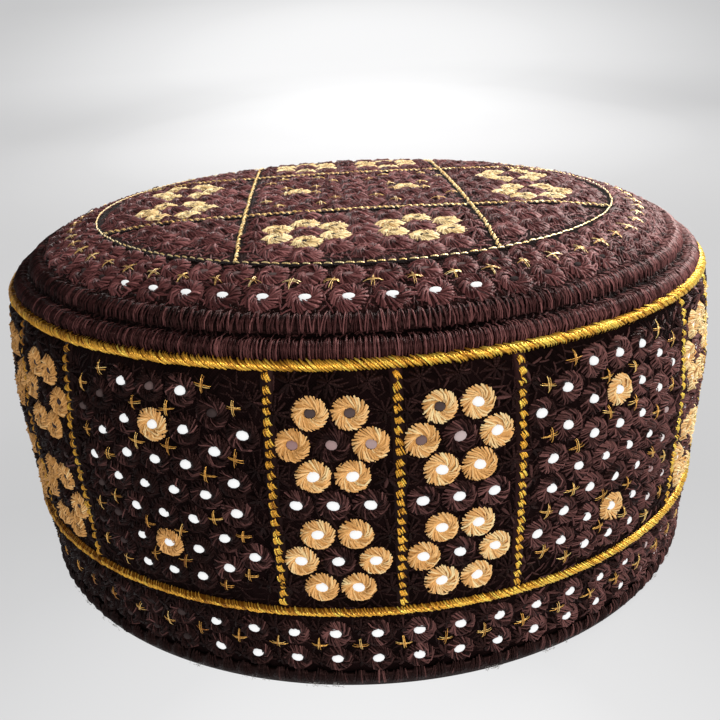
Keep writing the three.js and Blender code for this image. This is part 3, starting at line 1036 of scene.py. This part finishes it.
def wall_ground(holes):
    """The wall's cloth, opened at the back of its chart and closed again by its merged edges."""
    low, high = RIM_Z + 0.4, SEAM_Z
    left, right = -ROUND / 2, ROUND / 2
    across = np.linspace(left, right, int(ROUND / GROUND_STEP) + 1)
    up = np.linspace(low, high, int((high - low) / GROUND_STEP) + 1)
    outline = np.concatenate([
        np.stack([across[:-1], np.full(len(across) - 1, low)], -1),
        np.stack([np.full(len(up) - 1, right), up[:-1]], -1),
        np.stack([across[:0:-1], np.full(len(across) - 1, high)], -1),
        np.stack([np.full(len(up) - 1, left), up[:0:-1]], -1),
    ])
    inner = np.stack(np.meshgrid(across[1:-1], up[1:-1]), -1).reshape(-1, 2)
    holes = holes.copy()
    holes[:, 0] = (holes[:, 0] - left) % ROUND + left
    pierced_cloth("wall_cloth", on_wall, outline, holes, inner, GROUND, "side_band")


CROWN_EDGE_POINTS = 160


def crown_ground(holes):
    """The crown's cloth, a pierced disc that ends at the seam."""
    angle = np.linspace(0, TURN, CROWN_EDGE_POINTS, endpoint=False)
    outline = polar(SEAM_R + 0 * angle, angle)
    line = np.arange(-SEAM_R, SEAM_R, GROUND_STEP)
    inner = np.stack(np.meshgrid(line, line), -1).reshape(-1, 2)
    inner = inner[np.hypot(*inner.T) < SEAM_R - 1.5]
    pierced_cloth("crown_cloth", on_crown, outline, holes, inner, LIT_CROWN_GROUND, "crown_panel")


LINING_LIFT = (-2.1, -0.42)  # of its inner and its outer side


def lining():
    """The pale inner cup: its outer side, its inner side and the edge that joins them. Its outer side
    has shade 0.5, which its finish paints near black: painted shade in the slits round the domes in
    the holes.
    """
    piece = Piece("lining_cloth")
    s = np.linspace(up_to(RIM_Z + 0.5), FACE_S[-1], 70)
    angle = np.linspace(0, TURN, 181)[:, None]
    sides = {}
    for lift, shade in zip(LINING_LIFT, (0.0, 0.5)):
        sides[shade] = on_face(angle, s[None], lift + 0 * s[None])
    edge = np.stack([sides[0.0][:, 0], sides[0.5][:, 0]], 1)
    piece.add(sides[0.5][None], [0.5], 0.45)
    piece.add(sides[0.0][None, :, ::-1], [0.0], 0.45, band=0.5)
    piece.add(edge[None], [0.0], 0.04, band=0.46)
    merged(piece.build(COTTON_PAINTED_GLOW, "lining_cotton", "lining"))


CORD_CORE = 0.36  # half of the core's height, as a share of the cord's
CORD_COVER = 0.5  # how far the core's top lies under the threads'
CORD_FOOT = 0.3  # the lift of the threads' ends
CORD_THREAD = 0.4  # their width


def gold_cord(name, z, high, top, slant, count, seed, stands_for):
    """A gold cord round the wall: a round core, dark as painted shade in the gaps, and the slanted
    threads wound over it.
    """
    chance = np.random.default_rng(seed)
    piece = Piece(name)
    s = up_to(z)
    core = CORD_CORE * high
    ring(piece, *hump(s - core, s + core, 0.1, top - CORD_COVER), 0.1)
    x = (np.arange(count) + chance.uniform(-0.35, 0.35, count)) * ROUND / count
    up = high / 2 * uneven(chance, 0.13, count)
    down = high / 2 * uneven(chance, 0.09, count)
    lean = slant / 2 * uneven(chance, 0.12, count)
    starts = np.stack([x - lean, s + up], -1)
    ends = np.stack([x + lean, s - down], -1)
    slanted(piece, on_ring, starts, ends, (CORD_FOOT, top), CORD_THREAD, seed + 1, 0.85, band=0.12)
    piece.build(GOLD, "gold_thread", stands_for)


BRAID_BITS = 24  # short bundles in one braid
BRAID_STRANDS = np.arange(-2, 3)  # a bundle's threads, side by side
BRAID_END = 0.9  # from a braid's end to the middle of its last bundle
BUNDLE_HALF = 0.72  # half of a bundle's height
BUNDLE_SLANT = 0.3  # how far its tip and its foot lie to either side
TIP_PITCH = 0.22  # between the threads of a bundle at their tips
FOOT_PITCH = 0.31  # and at their feet
STRAND_STEP = 0.1  # how much higher each thread lies than the one before


def braid(name, middle, seed, stands_for):
    """An upright gold braid: bundles of five steep threads, fanned out at their feet, with dark
    gaps between the bundles.
    """
    chance = np.random.default_rng(seed)
    piece = Piece(name)
    low, high = up_to(LOWER_CORD_Z + 1.2), up_to(UPPER_CORD_Z - 1.4)
    many = (BRAID_BITS, len(BRAID_STRANDS))
    s = np.linspace(low + BRAID_END, high - BRAID_END, BRAID_BITS)
    s = s + chance.normal(0, 0.1, BRAID_BITS)
    s = s[:, None] + chance.normal(0, 0.09, many) + STRAND_STEP * BRAID_STRANDS
    x = middle + chance.normal(0, 0.1, (BRAID_BITS, 1))
    above = s + BUNDLE_HALF + chance.normal(0, 0.1, many)
    below = s - BUNDLE_HALF + chance.normal(0, 0.13, many)
    tip = x - BUNDLE_SLANT + TIP_PITCH * BRAID_STRANDS + chance.normal(0, 0.06, many)
    foot = x + BUNDLE_SLANT + FOOT_PITCH * BRAID_STRANDS + chance.normal(0, 0.09, many)
    starts = np.stack([tip, above], -1).reshape(-1, 2)
    ends = np.stack([foot, below], -1).reshape(-1, 2)
    slanted(piece, on_wall_run, starts, ends, rise=(0.5, 1.0), width=0.32, seed=seed + 1, share=0.95)
    piece.build(GOLD, "gold_thread", stands_for)


BED_ACROSS = np.array([-1.45, -1.1, 0.0, 1.1, 1.45])
BED_LIFT = np.array([-0.2, 0.3, 0.45, 0.3, -0.2])


def braid_beds():
    """The narrow dark satin bed that each upright braid lies on."""
    piece = Piece("braid_beds")
    s = np.linspace(up_to(LOWER_CORD_Z), up_to(UPPER_CORD_Z), 24)[None, :, None]
    middles = np.array([x for x, _ in braid_places()])
    x = middles[:, None, None] + BED_ACROSS + 0 * s
    points = on_wall_run(x, s + 0 * x, BED_LIFT + 0 * x)
    piece.add(points, np.zeros(len(middles)), 0.95)
    piece.build(SATIN, "dark_satin")


def braid_places():
    """Each upright braid's place on the wall's chart, and the number of its solid."""
    places = []
    for repeat in range(REPEATS):
        start = FIRST_BRAID + repeat * (2 * NARROW + WIDE)
        places += [start - NARROW, start, start + NARROW]
    return [(x, number + 1) for number, x in enumerate(places)]


STRANDS = 3  # fine strands in one leg of a ridge's pair
CORE_INSIDE = 0.5  # how far a ridge's core keeps inside the ridge
CORE_UNDER = 0.75  # and under its threads
STRAND_PITCH = 0.55  # between the strands of a leg, in their widths
FOOT_FAN = 1.4  # how many times as far they lie apart at the foot
TIP_FAN = 0.8  # and at the tip
STRAYING = 0.4  # how far a strand strays, in its widths
FILLER_END = 0.3  # how far the threads between the pairs keep inside the ridge
FILLER_UNDER = 0.35  # and under its threads
FILLER_WIDTH = 1.3  # how wide they are, in widths of a strand


def ridge(name, low, high, top, pitch, apart, lean, width, seed, stands_for):
    """A satin ridge: a low core under pairs of legs that lean together at their tops, each leg
    of STRANDS fine threads, and a few sunk between the pairs, darker as painted shade.

    pitch is the width of one pair, apart half the way between its two tips, and lean how far a
    leg's tip is from its foot.
    """
    chance = np.random.default_rng(seed)
    piece = Piece(name)
    ring(piece, *hump(low + CORE_INSIDE, high - CORE_INSIDE, 0.0, top - CORE_UNDER), 0.1)
    pairs = round(ROUND / pitch)
    count = 2 * STRANDS * pairs
    x = np.repeat(np.arange(pairs), 2 * STRANDS) * ROUND / pairs
    side = np.tile(np.repeat([-1, 1], STRANDS), pairs)
    fan = np.tile(np.linspace(-1, 1, STRANDS), 2 * pairs) * STRAND_PITCH * width
    stray = STRAYING * width
    foot = x + side * (lean + apart) + FOOT_FAN * fan + chance.normal(0, stray, count)
    tip = x + side * apart + TIP_FAN * fan + chance.normal(0, stray, count)
    below = low + chance.normal(0, 0.3, count)
    above = high + chance.normal(0, 0.3, count)
    starts = np.stack([tip, above], -1)
    ends = np.stack([foot, below], -1)
    slanted(piece, on_ring, starts, ends, (0.05, top), width, seed + 1, 0.55, band=0.12)
    between = (np.arange(pairs) + 0.5) * ROUND / pairs
    sway = chance.normal(0, 0.5 * lean + 0.2, pairs)
    starts = np.stack([between + sway, high - FILLER_END + 0 * sway], -1)
    ends = np.stack([between - sway, low + FILLER_END + 0 * sway], -1)
    slanted(piece, on_ring, starts, ends, (0.0, top - FILLER_UNDER), FILLER_WIDTH * width,
            seed + 2, 0.25, band=0.7, tone=0.25)
    piece.build(SATIN, "dark_satin", stands_for)


FURROWS = ((-0.5, 0.1), (5.6, 0.2))  # from the seam up the outline, and the lift over the cloth
FURROW_STEP = 1.1


def loose_threads():
    """Short dark threads in the furrows on both sides of the crown's edge."""
    piece = Piece("furrow_threads")
    x = np.arange(0, ROUND, FURROW_STEP)
    for number, (beyond, lift) in enumerate(FURROWS):
        spots = np.stack([x, up_to(SEAM_Z) + beyond + 0 * x], -1)
        scattered(piece, on_ring, spots, 0.6, 47 + number, 0.4, band=0.5 * number, tone=0.15,
                  above=lift)
    piece.build(SATIN, "dark_satin")


HEM_SECTION = [(86.9, 0.0), (90.7, 0.0), (91.1, 0.4), (91.3, 1.6), (91.2, 3.0), (90.9, 3.7),
               (90.6, 3.2), (90.2, 1.2), (88.2, 1.2), (87.7, 3.6), (87.1, 3.8), (86.9, 2.0)]
HEM_GROUPS = 2 * BAND_COLUMNS
HEM_GROUP_THREADS = 11
HEM_GATHER = 0.55  # how wide a fan is at its top, as a share of its foot
# A fan's lower and upper edge and how far it stands proud: in its middle, and what its sides add
HEM_FOOT_Z = (0.34, 0.55)
HEM_TIP_Z = (4.5, -0.6)
HEM_PROUD = (1.75, -0.5)


def hem():
    """The hem: a folded cloth edge, and over its outside small fans of threads, each standing
    proud in its middle and reaching lowest there, so that the lower edge is scalloped.
    """
    chance = np.random.default_rng(81)
    piece = Piece("hem_threads")
    section = np.array(HEM_SECTION)
    angle = np.linspace(0, TURN, AROUND, endpoint=False)[:, None]
    points = np.stack([section[:, 0] * np.sin(angle), -section[:, 0] * np.cos(angle),
                       section[:, 1] + 0 * angle], -1) * MM
    piece.add(points[None], [0.0], 0.1, wraps="both", edged=0.0)
    side = np.tile(np.linspace(-1, 1, HEM_GROUP_THREADS), HEM_GROUPS)
    middle = np.repeat((np.arange(HEM_GROUPS) + 0.25) * ROUND / HEM_GROUPS, HEM_GROUP_THREADS)
    half = ROUND / HEM_GROUPS / 2
    count = len(side)
    foot = middle + half * side + chance.normal(0, 0.1, count)
    tip = middle + HEM_GATHER * half * side + chance.normal(0, 0.14, count)
    bent = side ** 2
    below = up_to(HEM_FOOT_Z[0] + HEM_FOOT_Z[1] * bent + np.abs(chance.normal(0, 0.15, count)))
    above = up_to(HEM_TIP_Z[0] + HEM_TIP_Z[1] * bent + chance.normal(0, 0.25, count))
    proud = HEM_PROUD[0] + HEM_PROUD[1] * bent[:, None]
    starts = np.stack([tip, above], -1)
    ends = np.stack([foot, below], -1)
    slanted(piece, on_ring, starts, ends, rise=(0.75, proud), width=0.42, seed=82, share=0.85,
            band=0.12, tone=0.25)
    piece.build(PLUM, "dark_satin", "hem_binding")


FRAY_FIBRES = 360
FRAY_TUFTS = 60


def frayed_edge():
    """Pale fibres of the lining that have worked out under the hem, in loose tufts: each leaves
    the hem's face, dips a little, and ends by chance higher or lower and further out.
    """
    chance = np.random.default_rng(85)
    piece = Piece("frayed_lining_fibres")
    count = FRAY_FIBRES
    tuft = chance.uniform(0, ROUND, FRAY_TUFTS)
    x = chance.choice(tuft, count) + chance.normal(0, 1.0, count)
    path = np.stack([
        np.stack([x, np.full(count, up_to(1.3))], -1),
        np.stack([x + chance.normal(0, 0.25, count), up_to(chance.uniform(0.8, 1.0, count))], -1),
        np.stack([x + chance.normal(0, 0.6, count), up_to(chance.uniform(0.45, 1.6, count))], -1),
    ], 1)
    reach = chance.uniform(0, 0.5, (count, 1))
    lift = 1.45 + np.array([-0.3, 0.25, 0.2]) + reach * np.array([0, 0.4, 1.0])
    width = np.full((count, 3), 0.08)
    piece.add(thread_grid(on_ring, path, lift, width), chance.uniform(0, 1, count), 0.95)
    piece.build(FRAY, "lining_cotton")


LINE_HALF = math.sqrt(CIRCLE_R ** 2 - GRID_OFFSET ** 2)  # half of a line's length
CIRCLE_DASHES = 196
LINE_PITCH = 1.5  # from one pair of stitches to the next
LINE_PAIR = 0.35  # between the two stitches of a pair
LINE_STITCH = (0.6, 0.36)  # half of a stitch's length, along the line and over it


def crown_lines():
    """The gold circle and grid: thin dashes on the circle, short slanted pairs on the lines."""
    chance = np.random.default_rng(91)
    piece = Piece("crown_gold_threads")
    count = CIRCLE_DASHES
    angle = np.arange(count) * TURN / count
    share = np.linspace(0, 1, 5)
    turn = angle[:, None] + share * TURN / count * chance.uniform(0.7, 0.9, (count, 1))
    radius = CIRCLE_R + (share - 0.5) * 0.25 + chance.normal(0, 0.07, (count, 1))
    path = polar(radius, turn)
    lift = 0.65 + 0.2 * np.sin(math.pi * share) ** 0.5 + chance.normal(0, 0.04, (count, 1))
    width = np.array([0.24, 0.34, 0.36, 0.34, 0.24]) + 0 * lift
    shade = shades(chance, 0.75, 0.15, count)
    piece.add(thread_grid(on_crown, path, lift, width), shade, 0.4)
    along = np.arange(-LINE_HALF + 0.8, LINE_HALF - 0.4, LINE_PITCH)
    along = np.sort(np.concatenate([along, along + LINE_PAIR]))
    run, over = LINE_STITCH
    starts, ends = [], []
    for quarter in range(4):
        spin = quarter * TURN / 4 + GRID_TURN
        wander = GRID_OFFSET + chance.normal(0, 0.1, len(along))
        starts.append(turned(np.stack([along - run, wander + over], -1), spin))
        ends.append(turned(np.stack([along + run, wander - over], -1), spin))
    slanted(piece, on_crown, np.concatenate(starts), np.concatenate(ends), rise=(0.45, 0.85),
            width=0.3, seed=92, share=0.5, band=0.45)
    piece.build(PALE_GOLD, "gold_thread", "crown_gold_braid")


CROWN_BED_ACROSS = np.array([-0.95, -0.55, 0.0, 0.55, 0.95])
CROWN_BED_LIFT = np.array([-0.1, 0.16, 0.2, 0.16, -0.1])
CIRCLE_BED_POINTS = 181


def crown_line_beds():
    """The strip of bare dark cloth that the gold circle and each line of the grid lie on."""
    beds = Piece("crown_line_beds")
    length = np.linspace(-LINE_HALF, LINE_HALF, 60)[:, None]
    for quarter in range(4):
        x, y = length + 0 * CROWN_BED_ACROSS, GRID_OFFSET + CROWN_BED_ACROSS + 0 * length
        flat = turned(np.stack([x, y], -1).reshape(-1, 2), quarter * TURN / 4 + GRID_TURN)
        points = on_crown(*flat.T, np.tile(CROWN_BED_LIFT, len(length)))
        points = points.reshape(1, len(length), -1, 3)
        beds.add(points[:, ::-1], [0.0], 0.2, band=0.22 * quarter)
    reach = (CIRCLE_R + CROWN_BED_ACROSS)[:, None]
    spot = polar(reach, np.linspace(0, TURN, CIRCLE_BED_POINTS))
    lift = np.repeat(CROWN_BED_LIFT[:, None], CIRCLE_BED_POINTS, 1)
    points = on_crown(spot[..., 0], spot[..., 1], lift)
    beds.add(points[None, ::-1, :-1], [0.0], 0.1, wraps="columns", band=0.89)
    beds.build(GROUND, "dark_satin")


SCATTER_LIFT = np.array([0.02, 0.32, 0.02])
SCATTER_WIDTH = np.array([0.34, 0.46, 0.34])


def scattered(piece, chart, spots, reach, seed, share, band=0.0, tone=0.25, above=0.0):
    """Short dark threads lying every way on the ground, each low at its ends; above lifts all."""
    chance = np.random.default_rng(seed)
    spots = spots + chance.uniform(-0.7, 0.7, spots.shape)
    turn = chance.uniform(0, TURN, len(spots))
    arm = reach * uneven(chance, 0.2, len(spots))
    path = straight(spots - polar(arm, turn), spots + polar(arm, turn), STAR_STATIONS)
    lift = SCATTER_LIFT + chance.normal(0, 0.06, (len(spots), 1)) + above
    width = SCATTER_WIDTH * uneven(chance, 0.15, (len(spots), 1))
    shade = shades(chance, tone, 0.15, len(spots))
    piece.add(thread_grid(chart, path, lift, width), shade, share, band=band)


def bare_wall(holes):
    """Spots on the wall that lie clear of the eyelets, on both sides of the chart's ends too."""
    line = np.arange(-ROUND / 2, ROUND / 2, WALL_SCATTER_STEP)
    up = np.arange(*WALL_SCATTER_Z, WALL_SCATTER_STEP)
    spots = np.stack(np.meshgrid(line, up), -1).reshape(-1, 2)
    every = np.concatenate([holes, holes + (ROUND, 0), holes - (ROUND, 0)])
    return spots[nearest(spots, every) > WALL_EYELET_CLEAR]


def bare_crown(holes):
    """Spots on the crown that lie clear of the eyelets, the gold circle and the lines in it."""
    line = np.arange(-SEAM_R, SEAM_R, CROWN_SCATTER_STEP)
    spots = np.stack(np.meshgrid(line, line), -1).reshape(-1, 2)
    spots = spots[np.hypot(*spots.T) < CROWN_SCATTER_R]
    spots = spots[np.abs(np.hypot(*spots.T) - CIRCLE_R) > CIRCLE_CLEAR]
    lined = np.abs(np.abs(turned(spots, -GRID_TURN)) - GRID_OFFSET).min(1) < LINE_CLEAR
    spots = spots[~lined | (np.hypot(*spots.T) > CIRCLE_R)]
    return spots[nearest(spots, holes) > CROWN_EYELET_CLEAR]


def embroider_wall():
    """All the stitches of the wall. Returns where the lining shows."""
    cream, dark, star, cross = [np.array(points) for points in panel_chart()]
    band, band_cross = band_chart()
    holes = np.concatenate([cream, dark, band])
    wall_ground(holes)
    rosettes = Piece("wall_cream_eyelets")
    eyelets(rosettes, on_wall, cream, rim=3.5, threads=36, seed=11, share=0.98)
    rosettes.build(CREAM, "cream_thread")
    plums = Piece("wall_dark_eyelets")
    eyelets(plums, on_wall, dark, rim=3.5, threads=40, seed=12, share=0.98)
    plums.build(PLUM, "dark_embroidery")
    lower = Piece("lower_band_eyelets")
    eyelets(lower, on_wall, band, rim=3.4, threads=40, seed=13, share=0.8)
    beside = (band_cross[:, None] + BAND_STARS_BESIDE).reshape(-1, 2)
    stars(lower, on_wall, beside, reach=2.3, threads=8, seed=14, share=0.15, band=0.82)
    lower.build(PLUM, "dark_embroidery")
    tufts = Piece("wall_star_stitches")
    stars(tufts, on_wall, star, reach=2.7, threads=9, seed=15, share=0.5)
    scattered(tufts, on_wall, bare_wall(holes), reach=1.3, seed=16, share=0.4, band=0.55)
    tufts.build(PLUM, "dark_embroidery")
    gilt = Piece("wall_gold_crosses")
    crosses(gilt, on_wall, cross, aim=0.0, arm=1.6, seed=17, share=0.6)
    crosses(gilt, on_wall, band_cross, aim=0.0, arm=1.75, seed=18, share=0.3, band=0.65)
    gilt.build(TAN_GOLD, "gold_thread")
    return [(on_wall, holes, BULGE_LIFT, OPEN_EYELET[2])]


def embroider_crown():
    """All the stitches of the crown. Returns where the lining shows."""
    cream, dark, star, cross = field_chart()
    outer, inner = crown_ring(OUTER_RING_R, 0), crown_ring(INNER_RING_R, 0)
    between = crown_ring(CROSS_RING_R, BAND_CROSS_SHIFT)
    holes = np.concatenate([cream, dark, outer, inner])
    crown_ground(holes)
    rosettes = Piece("crown_cream_eyelets")
    eyelets(rosettes, on_crown, cream, rim=3.7, threads=36, seed=21, share=0.95, kind=FLAT_EYELET)
    rosettes.build(LIT_CREAM, "cream_thread")
    plums = Piece("crown_dark_eyelets")
    eyelets(plums, on_crown, dark, rim=3.9, threads=28, seed=22, share=0.55, kind=KNOT_EYELET)
    eyelets(plums, on_crown, outer, rim=3.85, threads=32, seed=23, share=0.2, band=0.56,
            kind=RING_EYELET)
    eyelets(plums, on_crown, inner, rim=3.5, threads=28, seed=24, share=0.2, band=0.78,
            kind=SLIT_EYELET)
    plums.build(LIT_PLUM, "dark_embroidery")
    tufts = Piece("crown_star_stitches")
    stars(tufts, on_crown, star, reach=2.8, threads=10, seed=25, share=0.4, tone=0.4)
    scattered(tufts, on_crown, bare_crown(holes), reach=1.4, seed=26, share=0.5, band=0.45,
              tone=0.45)
    tufts.build(LIT_PLUM, "dark_embroidery")
    gilt = Piece("crown_gold_crosses")
    crosses(gilt, on_crown, cross, aim=GRID_TURN, arm=1.6, seed=27, share=0.4)
    outward = np.arctan2(between[:, 1], between[:, 0])
    crosses(gilt, on_crown, between, aim=outward, arm=1.8, seed=28, share=0.4, band=0.5)
    gilt.build(PALE_GOLD, "gold_thread")
    return [(on_crown, np.concatenate([outer, inner]), CROWN_BULGE_LIFT, RING_EYELET[2]),
            (on_crown, cream, CREAM_BULGE_LIFT, FLAT_EYELET[2])]


def trim():
    """The cords, the braids, the two ridges, the hem and the crown's gold lines."""
    gold_cord("upper_gold_cord_threads", UPPER_CORD_Z, high=2.2, top=1.75, slant=2.9, count=980,
              seed=31, stands_for="upper_gold_cord")
    gold_cord("lower_gold_cord_threads", LOWER_CORD_Z, high=1.55, top=1.5, slant=2.3, count=980,
              seed=33, stands_for="lower_gold_cord")
    for x, number in braid_places():
        braid(f"band_braid_{number:02d}_threads", x, 100 + 2 * number, f"band_braid_{number:02d}")
    braid_beds()
    seam = up_to(SEAM_Z)
    ridge("band_top_ridge", up_to(UPPER_CORD_Z) + 1.0, seam - 1.2, top=1.45, pitch=1.6,
          apart=0.3, lean=0.08, width=0.32, seed=41, stands_for="band_top_binding")
    ridge("crown_edge_ridge", seam + 0.1, seam + 4.8, top=1.4, pitch=2.2,
          apart=0.16, lean=0.66, width=0.36, seed=43, stands_for="crown_edge_binding")
    loose_threads()
    hem()
    frayed_edge()
    crown_lines()
    crown_line_beds()


PAPER_SECTION = [(0.0, 0.0), (0.4, 0.0), (0.8, 0.0), (1.3, 0.0), (1.9, 0.05), (2.4, 0.2),
                 (2.8, 0.5), (3.0, 0.9), (3.05, 1.6)]


def floor():
    """Pale studio paper: flat under the cap, and swept up all round in one soft curve."""
    section = np.array(PAPER_SECTION)
    angle = np.linspace(0, TURN, 129)[:, None]
    points = np.stack([section[:, 0] * np.cos(angle), section[:, 0] * np.sin(angle),
                       section[:, 1] + 0 * angle], -1)
    rows, columns, _ = points.shape
    index = np.arange(rows * columns).reshape(rows, columns)
    quads = np.stack([index[:-1, :-1], index[:-1, 1:], index[1:, 1:], index[1:, :-1]], -1)
    mesh = bpy.data.meshes.new("paper")
    mesh.from_pydata(points.reshape(-1, 3).tolist(), [], quads.reshape(-1, 4).tolist())
    with net_of(mesh) as net:
        bmesh.ops.remove_doubles(net, verts=net.verts, dist=1e-5)
        bmesh.ops.recalc_face_normals(net, faces=net.faces)
    mesh.shade_smooth()
    mesh.materials.append(PAPER)
    ground = bpy.data.objects.new("paper", mesh)
    bpy.context.scene.collection.objects.link(ground)


CAP_MIDDLE = Vector((0, 0, 0.05))


def lamp(name, place, size, watts, colour):
    """A square soft lamp that looks at the cap's middle."""
    light = bpy.data.lights.new(name, "AREA")
    light.size = size
    light.energy = watts
    light.color = colour
    holder = bpy.data.objects.new(name, light)
    bpy.context.scene.collection.objects.link(holder)
    holder.location = place
    holder.rotation_euler = (CAP_MIDDLE - Vector(place)).to_track_quat("-Z", "Y").to_euler()


def studio():
    """Dim even surroundings, a key lamp high on the right behind, a soft lamp behind and a
    weaker one in front.
    """
    world = bpy.data.worlds.new("studio")
    world.use_nodes = True
    surroundings = world.node_tree.nodes["Background"].inputs
    surroundings["Color"].default_value = (0.80, 0.80, 0.81, 1)
    surroundings["Strength"].default_value = 0.12
    bpy.context.scene.world = world
    lamp("key", (0.68, 0.40, 0.62), size=0.3, watts=16.0, colour=(1.0, 0.97, 0.93))
    lamp("back", (-0.1, 1.05, 0.55), size=0.8, watts=9.0, colour=(1.0, 0.98, 0.96))
    lamp("fill", (0.28, -0.80, 0.45), size=0.4, watts=5.5, colour=(1.0, 0.97, 0.92))


# The camera as fitted to the photograph: where it stands, and its ways to the right and up
CAMERA_PLACE = (0.0, -0.2444, 0.1350)
CAMERA_RIGHT = (0.99893, -0.01572, -0.04348)
CAMERA_UP = (0.04622, 0.35857, 0.93236)
CAMERA_LENS = 44.0
CAMERA_SENSOR = 36.0


def camera():
    """The camera at the photograph's viewing angle."""
    lens = bpy.data.cameras.new("camera")
    lens.lens = CAMERA_LENS
    lens.sensor_width = CAMERA_SENSOR
    lens.clip_start = 0.01
    right = Vector(CAMERA_RIGHT).normalized()
    up = (Vector(CAMERA_UP) - right * right.dot(Vector(CAMERA_UP))).normalized()
    axes = Matrix((right, up, right.cross(up))).transposed().to_4x4()
    holder = bpy.data.objects.new("camera", lens)
    holder.matrix_world = Matrix.Translation(CAMERA_PLACE) @ axes
    bpy.context.scene.collection.objects.link(holder)
    bpy.context.scene.camera = holder


camera()
studio()
floor()
lining()
bulges(embroider_wall() + embroider_crown())
trim()
bpy.context.scene.view_settings.view_transform = "Standard"

bpy.context.view_layer.update()
